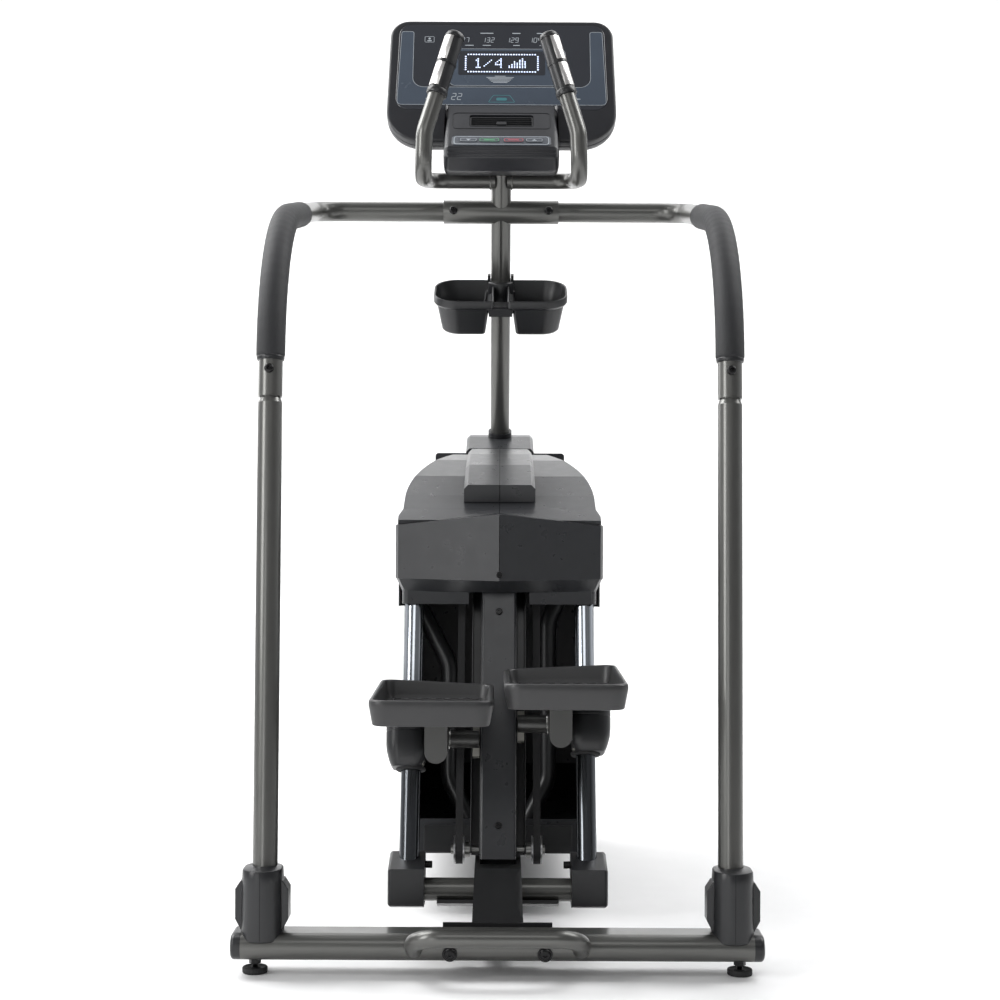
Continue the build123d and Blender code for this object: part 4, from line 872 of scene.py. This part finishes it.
# ------------------------------------------------------------------ handrail foam
GRIP_BOTTOM = 984.0
RAIL_CORNER, FRONT_CORNER = (382.0, 202.0, 1216.0), (380.0, 870.0, 1334.0)
RAIL_BEND = 315.0
GRIP_END_DEPTH = 595.0
FOAM_R = 24.0


def upright_point(side, height):
    rise = height - 47.0
    return spot(side * (369.5 + rise * 0.0117), 40.0 + rise * 0.1387, height)


def foam_route(side):
    corner = spot(side * RAIL_CORNER[0], *RAIL_CORNER[1:])
    front = spot(side * FRONT_CORNER[0], *FRONT_CORNER[1:])
    share = (GRIP_END_DEPTH - RAIL_CORNER[1]) / (FRONT_CORNER[1] - RAIL_CORNER[1])
    ends = [upright_point(side, GRIP_BOTTOM), corner, corner + (front - corner) * share]
    return softened(ends, [0, RAIL_BEND, 0], 40, closed=False)


def handrail_foam(side):
    """Foam sleeve with rolled ends and faint compression creases round the bend."""
    label = "right" if side > 0 else "left"
    route = foam_route(side)
    long = sum((b - a).length for a, b in zip(route, route[1:]))
    lip = 5.0
    places = [0, 0.6, 1.8, 3.4, lip]
    places += [lip + (long - 2 * lip) * k / 130 for k in range(1, 131)]
    places += [long - 3.4, long - 1.8, long - 0.6, long]
    radii = []
    for place in places:
        edge = min(place, long - place, lip)
        roll = (1 - sqrt(max(0.0, 1 - ((lip - edge) / lip) ** 2))) * 3.2
        crease = 0.14 * sin(place / 3.1) * sin(pi * place / long)
        radii.append(FOAM_R - roll + crease)
    bm = bmesh.new()
    sweep(bm, measured(route, places), radii, 48)
    sleeve = piece(label + "_foam_grip", bm, LEVEL, ["foam"], body="frame", sharp=60)
    rings = bmesh.new()
    for start, step in ((route[0], route[0] - route[1]), (route[-1], route[-1] - route[-2])):
        run = step.normalized()
        sweep(rings, [start - run * 1, start, start + run * 1.5, start + run * 5, start + run * 6],
              [22.6, 23.1, 23.1, 22.2, 20.4], 40)
    piece(label + "_foam_collars", rings, LEVEL, ["black_plastic"], body="frame", sharp=30)
    return sleeve


sleeves = [handrail_foam(side) for side in (-1, 1)]
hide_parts("handrail_grips")


# ------------------------------------------------------------------ cup tray
TRAY_SPOT = (887.0, 1176.0)
tray = face(spot(0, *TRAY_SPOT) * MM, TRAY_LEAN)


def mast_point(height):
    return spot(0, 870.0 - (height - 1334.0) * 0.4327, height)


def bin_ring(side, x0, x1, half, z, outer_r, inner_r=7.0):
    """Bin outline between two distances from the middle, round on its outer side."""
    corners = [(x0, -half), (x1, -half), (x1, half), (x0, half)]
    outline = softened(corners, [inner_r, outer_r, outer_r, inner_r], 12)
    return [Vector((side * p.x, p.y, z)) for p in outline]


def cup_tray():
    """Two stepped bins with a rolled rim either side of a split collar."""
    bm = bmesh.new()
    outside = [(33, 117, 54, -76, 34), (31, 120, 57, -73, 37), (24, 130, 64, -21, 43),
               (17, 133, 66, -19.5, 44), (14.5, 136.5, 70, -15, 48), (13.5, 136.5, 70, -2, 48)]
    rim = [(14.2, 135.8, 69.3, -0.4, 47), (15.5, 134.4, 68, 0.2, 46), (17, 132.8, 66.4, -0.6, 45),
           (17.6, 132, 65.6, -2.4, 44)]
    inside = [(19, 130, 64, -15, 42), (26, 127, 60, -22, 41), (34, 116, 53, -68, 33),
              (40, 108, 46, -73, 27)]
    for side in (-1, 1):
        loft(bm, [bin_ring(side, *ring) for ring in outside + rim + inside])
        for y in (-30, -10, 10, 30):
            box(bm, sorted((side * 44, side * 100)), (y - 5, y + 5), (-77.6, -75.5))
    box(bm, (-19, 19), (44, 69), (-15, -1))
    box(bm, (-24, 24), (-66, -36), (-34, -17))
    box(bm, (-17, 17), (-62, -30), (-17.5, -14.5))
    made = piece("bottle_tray", bm, tray, ["black_plastic"], ["cup_tray"], edge=1.0, sharp=30)
    ribs = bmesh.new()
    for side in (-1, 1):
        tip = Vector((side * 92, -4, -71.8))
        for y in (-34, 34):
            sweep(ribs, [tip, Vector((side * 46, y, -71.8))], [1.5, 1.5], 10)
    piece("bottle_tray_ribs", ribs, tray, ["black_plastic"], body="frame")
    collar = bmesh.new()
    lathe(collar, [(24, 0), (26, 1), (27, 4), (27, 68), (26.2, 70.5), (25, 71.4), (23, 71.6)],
          sides=48)
    for side in (-1, 1):
        box(collar, sorted((side * 21, side * 27)), (-7, 7), (66, 84))
    up_the_mast = along(mast_point(1136), mast_point(1210))
    piece("bottle_tray_collar", collar, up_the_mast, ["black_plastic"], body="frame", edge=0.8)
    return made


cup_tray()


# ------------------------------------------------------------------ pedals and carriages
PEDAL_TALL = 41.0


def pedal(label, side):
    """Open tray whose rim is high ahead and outside and sweeps down to a low near lip."""
    low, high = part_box(label + "_pedal")
    wide, long = (high.x - low.x) / MM, (high.y - low.y) / MM
    place = Matrix.Translation(((low.x + high.x) / 2, (low.y + high.y) / 2, low.z))

    def rim(point):
        inner_far = max(0.0, point.y / long + 0.5) * (0.5 - side * point.x / wide)
        dip = max(0.0, 1 - ((point.x - side * 6) / (0.36 * wide)) ** 2) ** 2
        near = min(1.0, max(0.0, (0.47 - (point.y / long + 0.5)) / 0.47)) ** 6
        return PEDAL_TALL - 9.0 * inner_far - 14.0 * dip * near

    def level(cut, z):
        return raised(inset(rounded(wide, long, 27, steps=12), cut), z)

    def under_rim(cut, drop, towards_floor=0.0):
        heights = [(p, (rim(p) - drop) * (1 - towards_floor) + towards_floor * 12)
                   for p in inset(rounded(wide, long, 27, steps=12), cut)]
        return [Vector((p.x, p.y, z)) for p, z in heights]

    bm = bmesh.new()
    outside = [level(9, 0.0), level(6.5, 0.6), level(5.4, 2.5), under_rim(0.8, 14),
               under_rim(0.0, 10)]
    rolled = [(0.2, 4.0), (1.2, 1.6), (3.0, 0.2), (5.2, 0.0), (7.0, 1.0), (8.2, 3.2)]
    inside = [under_rim(11, 0, 0.8), level(14, 10.5), level(18, 9.0)]
    loft(bm, outside + [under_rim(cut, drop) for cut, drop in rolled] + inside)
    made = piece(label + "_pedal_tray_shell", bm, place, ["pedal_plastic"], [label + "_pedal"])
    tread = bmesh.new()
    pad = rounded(wide - 44, long - 64, 12, (0, -4))
    loft(tread, [raised(pad, 8.8), raised(pad, 11.2), raised(inset(pad, 0.8), 12)])
    rows = 23
    for row in range(rows):
        y = -4 + (row - (rows - 1) / 2) * 10.8
        for column in range(6):
            x = (column - 2.5) * 23 + (5.5 if row % 2 else -5.5)
            bar = rounded(16, 3.6, 1.7, (x, y), 3)
            loft(tread, [raised(bar, 11.8), raised(inset(bar, 0.2), 13.2),
                         raised(inset(bar, 0.8), 13.7)])
    piece(label + "_pedal_tread", tread, place, ["rubber"], body=label + "_carriage", sharp=30)
    return made


rail = face(middle("lower_shaft"), RAIL_LEAN)
CARRIAGE_PLACES = {"left": 253.3, "right": 280.5}      # along the rail
RAIL_X, ARM_X, ARM_HALF = 149.0, 102.0, 18.5
CROSS_R = 15.0


def carriage_cover(label, side):
    """Rounded shoe over the rail sleeve, tapered at its foot, with a seam and a wiper seal."""
    u = CARRIAGE_PLACES[label]
    mid = side * 156.75
    rings = []
    foot = [(-51.6, 15), (-51, 12.2), (-47, 9.0), (-36, 4.6), (-24, 1.4), (-12, 0.3)]
    seam_groove = [(8, 0.0), (9, 0.9), (10.4, 0.9), (11.4, 0.0)]
    top = [(40, 0.0), (47, 0.6), (50, 2.0), (51.4, 4.5)]
    for up, cut in foot + seam_groove + top:
        outline = inset(rounded(70.5, 72, 23, (mid, 2), 8), cut)
        rings.append([Vector((p.x, u + up, p.y)) for p in outline])
    bm = bmesh.new()
    loft(bm, rings)
    made = piece(label + "_carriage_shoe", bm, rail, ["black_plastic"],
                 [label + "_carriage_cover"], sharp=35)
    seal = bmesh.new()
    lathe(seal, [(19, -55), (24, -55), (25.5, -53.5), (25.5, -50.5)], sides=40)
    start = rail @ (Vector((side * RAIL_X, u, 0)) * MM) / MM
    end = rail @ (Vector((side * RAIL_X, u + 10, 0)) * MM) / MM
    piece(label + "_wiper_seal", seal, along(start, end), ["rubber"], body=label + "_carriage",
          sharp=30)
    welds = bmesh.new()
    for x in (ARM_X - ARM_HALF, ARM_X + ARM_HALF):
        beads(welds, CROSS_R, 1.6, x)
    axis = rail @ (Vector((0, u, 0)) * MM) / MM
    piece(label + "_arm_welds", welds, along(axis, axis + Vector((side, 0, 0))), ["steel"],
          body=label + "_carriage")
    return made


for side, label in ((-1, "left"), (1, "right")):
    pedal(label, side)
    carriage_cover(label, side)


# ------------------------------------------------------------------ upright boots
BOOT_X, BOOT_NEAR, BOOT_FAR = 371.5, -4.0, 78.0
BOOT_LOW, BOOT_HIGH = 57.0, 168.0
EAR_SHAPE = [(-33, 72), (33, 72), (42, 89), (42, 136), (33, 150), (-33, 150), (-42, 136), (-42, 89)]


def upright_boot(side, label):
    """Two round-backed halves with side ears, joined down the middle."""
    mid_depth, long = (BOOT_NEAR + BOOT_FAR) / 2, BOOT_FAR - BOOT_NEAR
    place = Matrix.Translation(spot(side * BOOT_X, mid_depth, 0) * MM)
    bm = bmesh.new()
    section = rounded(65, long, 31, steps=14)
    top = BOOT_HIGH
    shape = [(1.2, BOOT_LOW), (0, BOOT_LOW + 1.2), (0, 92), (0.8, 150), (1.6, top - 2.4),
             (2.6, top - 0.7), (4.2, top)]
    loft(bm, [raised(inset(section, cut), z) for cut, z in shape])
    made = piece(label + "_boot", bm, place, ["black_plastic"], body="frame", sharp=30)
    ears = bmesh.new()
    ear = [Vector((x, 0, z)) for x, z in EAR_SHAPE]
    loft(ears, [[p + Vector((0, y, 0)) for p in ear] for y in (-17, 19)])
    piece(label + "_boot_ears", ears, place, ["black_plastic"], body="frame", edge=1.6)
    groove = bmesh.new()
    line = Vector((0.5, 0, 0))
    back = [Vector((0, -long / 2 - 0.15, BOOT_LOW + 1.5)), Vector((0, -long / 2 - 0.15, 92)),
            Vector((0, -long / 2 + 0.65, 150)), Vector((0, -long / 2 + 1.45, top - 2.4))]
    sink = Vector((0, 1, 0))
    loft(groove, [[p - line, p + line, p + line + sink, p - line + sink] for p in back])
    piece(label + "_boot_seam", groove, place, ["dark_gap"], body="frame")
    return made


boots = [upright_boot(-1, "left"), upright_boot(1, "right")]
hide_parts("upright_boots")


# ------------------------------------------------------------------ seams of the covers
def seam(name, points, half=0.45):
    """Dark parting line laid along the middle of a cover."""
    bm = bmesh.new()
    path = [spot(0, d, h) for d, h in points]
    across = Vector((half, 0, 0))
    sink = Vector((0, 0, -0.8))
    loft(bm, [[p - across, p + across, p + across + sink, p - across + sink] for p in path])
    piece(name, bm, LEVEL, ["dark_gap"], body="frame")


# Depths and heights just outside the covers they run along.
seam("neck_seam", [(411.8, 747), (411.8, 775.2), (560, 813.2), (700, 836.2), (860, 849.2),
                   (962, 852.2)])
seam("belt_cover_seam", [(299.8, 722), (299.8, 626)])


# ------------------------------------------------------------------ feet
def levelling_foot(name):
    """Knurled disc with a dished top, a lock nut and a threaded stud."""
    low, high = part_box(name)
    radius = (high.x - low.x) / 2 / MM
    tall = high.z / MM
    place = Matrix.Translation(((low.x + high.x) / 2, (low.y + high.y) / 2, 0))
    bm = bmesh.new()
    rim = [(2.5, 0), (0.8, 0.6), (0, 1.8), (0, 8.2), (1, 9.6), (3, 10), (6, 8.6)]
    profile = [(radius - cut, z) for cut, z in rim] + [(9, 8.2), (8.4, 9)]
    lathe(bm, profile, sides=96, knurl=0.022)
    made = piece(name + "_disc", bm, place, ["rubber"], [name], sharp=35)
    metal = bmesh.new()
    thread = []
    z = 8.0
    while z < tall - 1:
        thread += [(5.0, z), (4.4, z + 0.75)]
        z += 1.5
    lathe(metal, thread, sides=24)
    lathe(metal, [(7.5, 14.5), (9.6, 15.3), (9.6, 22.7), (7.5, 23.5)], sides=6)
    piece(name + "_stud", metal, place, ["bolt_black"], body=frame["nodes"][name]["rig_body"],
          sharp=25)
    return made


for corner in ("left_rear_foot", "right_rear_foot", "left_front_foot", "right_front_foot"):
    levelling_foot(corner)


# ------------------------------------------------------------------ stage, light and camera
FLOOR_REACH, WALL_START = 9000.0, 2600.0
WALL_SWEEP, WALL_TOP = 1800.0, 7000.0


def stage_floor():
    """Pale floor that sweeps up into a wall behind the object."""
    bm = bmesh.new()
    profile = [(-FLOOR_REACH, 0), (WALL_START, 0)]
    for k in range(1, 25):
        turn = pi / 2 * k / 24
        profile.append((WALL_START + WALL_SWEEP * sin(turn), WALL_SWEEP - WALL_SWEEP * cos(turn)))
    profile.append((WALL_START + WALL_SWEEP, WALL_TOP))
    rings = [[Vector((x, y, z)) for y, z in profile] for x in (-FLOOR_REACH, FLOOR_REACH)]
    loft(bm, rings, ends=(False, False), closed=False)
    bm.transform(Matrix.Scale(MM, 4))
    mesh = bpy.data.meshes.new("floor")
    bm.to_mesh(mesh)
    bm.free()
    mesh.materials.append(finish_of("floor", (0.91, 0.91, 0.91), 0.7, grain=0.0001, mottle=0.01,
                                    scuff=0.0))
    mesh.shade_smooth()
    floor = bpy.data.objects.new("floor", mesh)
    bpy.context.scene.collection.objects.link(floor)


# Place, aim, size in metres and power in watts of each soft light.
LAMPS = {
    "key": ((-3.4, -2.6, 2.2), (0, 0, 0.7), (1.4, 2.6), 90),
    "left_card": ((-1.9, -4.7, 0.9), (0, -0.3, 0.7), (1.1, 1.8), 20),
    "back_card": ((0, -3.2, 2.9), (0, -0.2, 0.6), (1.6, 1.2), 11),
    "left_top": ((-2.5, 0.4, 3.7), (0, 0.1, 0.8), (1.6, 2.6), 125),
    "right_top": ((2.5, 0.4, 3.7), (0, 0.1, 0.8), (1.6, 2.6), 95),
    "rim": ((-2.6, 1.8, 2.4), (0, 0, 0.9), (1.2, 2.6), 40),
    "floor_light": ((0, 2.2, 3.6), (0, 3.4, 0.2), (5.0, 2.0), 75),
}
SKY_TINT = (0.97, 0.98, 1.0, 1)
SKY_DARK, SKY_BRIGHT = 0.20, 1.12        # strength behind the camera and ahead of it
SKY_RANGE = (-0.35, 0.72)


def lamp(name, place, aim, size, power):
    """Rectangular area light turned towards a point."""
    light = bpy.data.lights.new(name, "AREA")
    light.shape = "RECTANGLE"
    light.size, light.size_y = size
    light.energy = power
    made = bpy.data.objects.new(name, light)
    made.location = place
    made.rotation_euler = (Vector(aim) - Vector(place)).to_track_quat("-Z", "Y").to_euler()
    bpy.context.scene.collection.objects.link(made)


def studio():
    """Bright surroundings ahead, a darker room behind the camera, and the soft lights."""
    world = bpy.data.worlds.new("studio")
    world.use_nodes = True
    tree = world.node_tree
    backdrop = tree.nodes["Background"]
    coords = tree.nodes.new("ShaderNodeTexCoord").outputs["Generated"]
    parts = tree.nodes.new("ShaderNodeSeparateXYZ")
    tree.links.new(coords, parts.inputs["Vector"])
    tone = spread(tree, parts.outputs["Y"], SKY_DARK, SKY_BRIGHT, *SKY_RANGE)
    tree.links.new(tone, backdrop.inputs["Strength"])
    backdrop.inputs["Color"].default_value = SKY_TINT
    bpy.context.scene.world = world
    for name, values in LAMPS.items():
        lamp(name, *values)
    bpy.context.scene.view_settings.view_transform = "Standard"


CAMERA_AWAY, CAMERA_UP = 3.377, 0.766
CAMERA_ROLL = -0.28                      # degrees
CAMERA_LENS, CAMERA_SENSOR = 64.8, 36.0
CAMERA_SHIFT = (0.0003, -0.01)


def camera():
    """Level view from behind the user's place, as far away as the perspective asks."""
    data = bpy.data.cameras.new("camera")
    data.sensor_width = CAMERA_SENSOR
    data.lens = CAMERA_LENS
    data.shift_x, data.shift_y = CAMERA_SHIFT
    made = bpy.data.objects.new("camera", data)
    made.location = (0, -CAMERA_AWAY, CAMERA_UP)
    made.rotation_euler = (pi / 2, radians(CAMERA_ROLL), 0)
    bpy.context.scene.collection.objects.link(made)
    bpy.context.scene.camera = made


stage_floor()
studio()
camera()

bpy.context.view_layer.update()
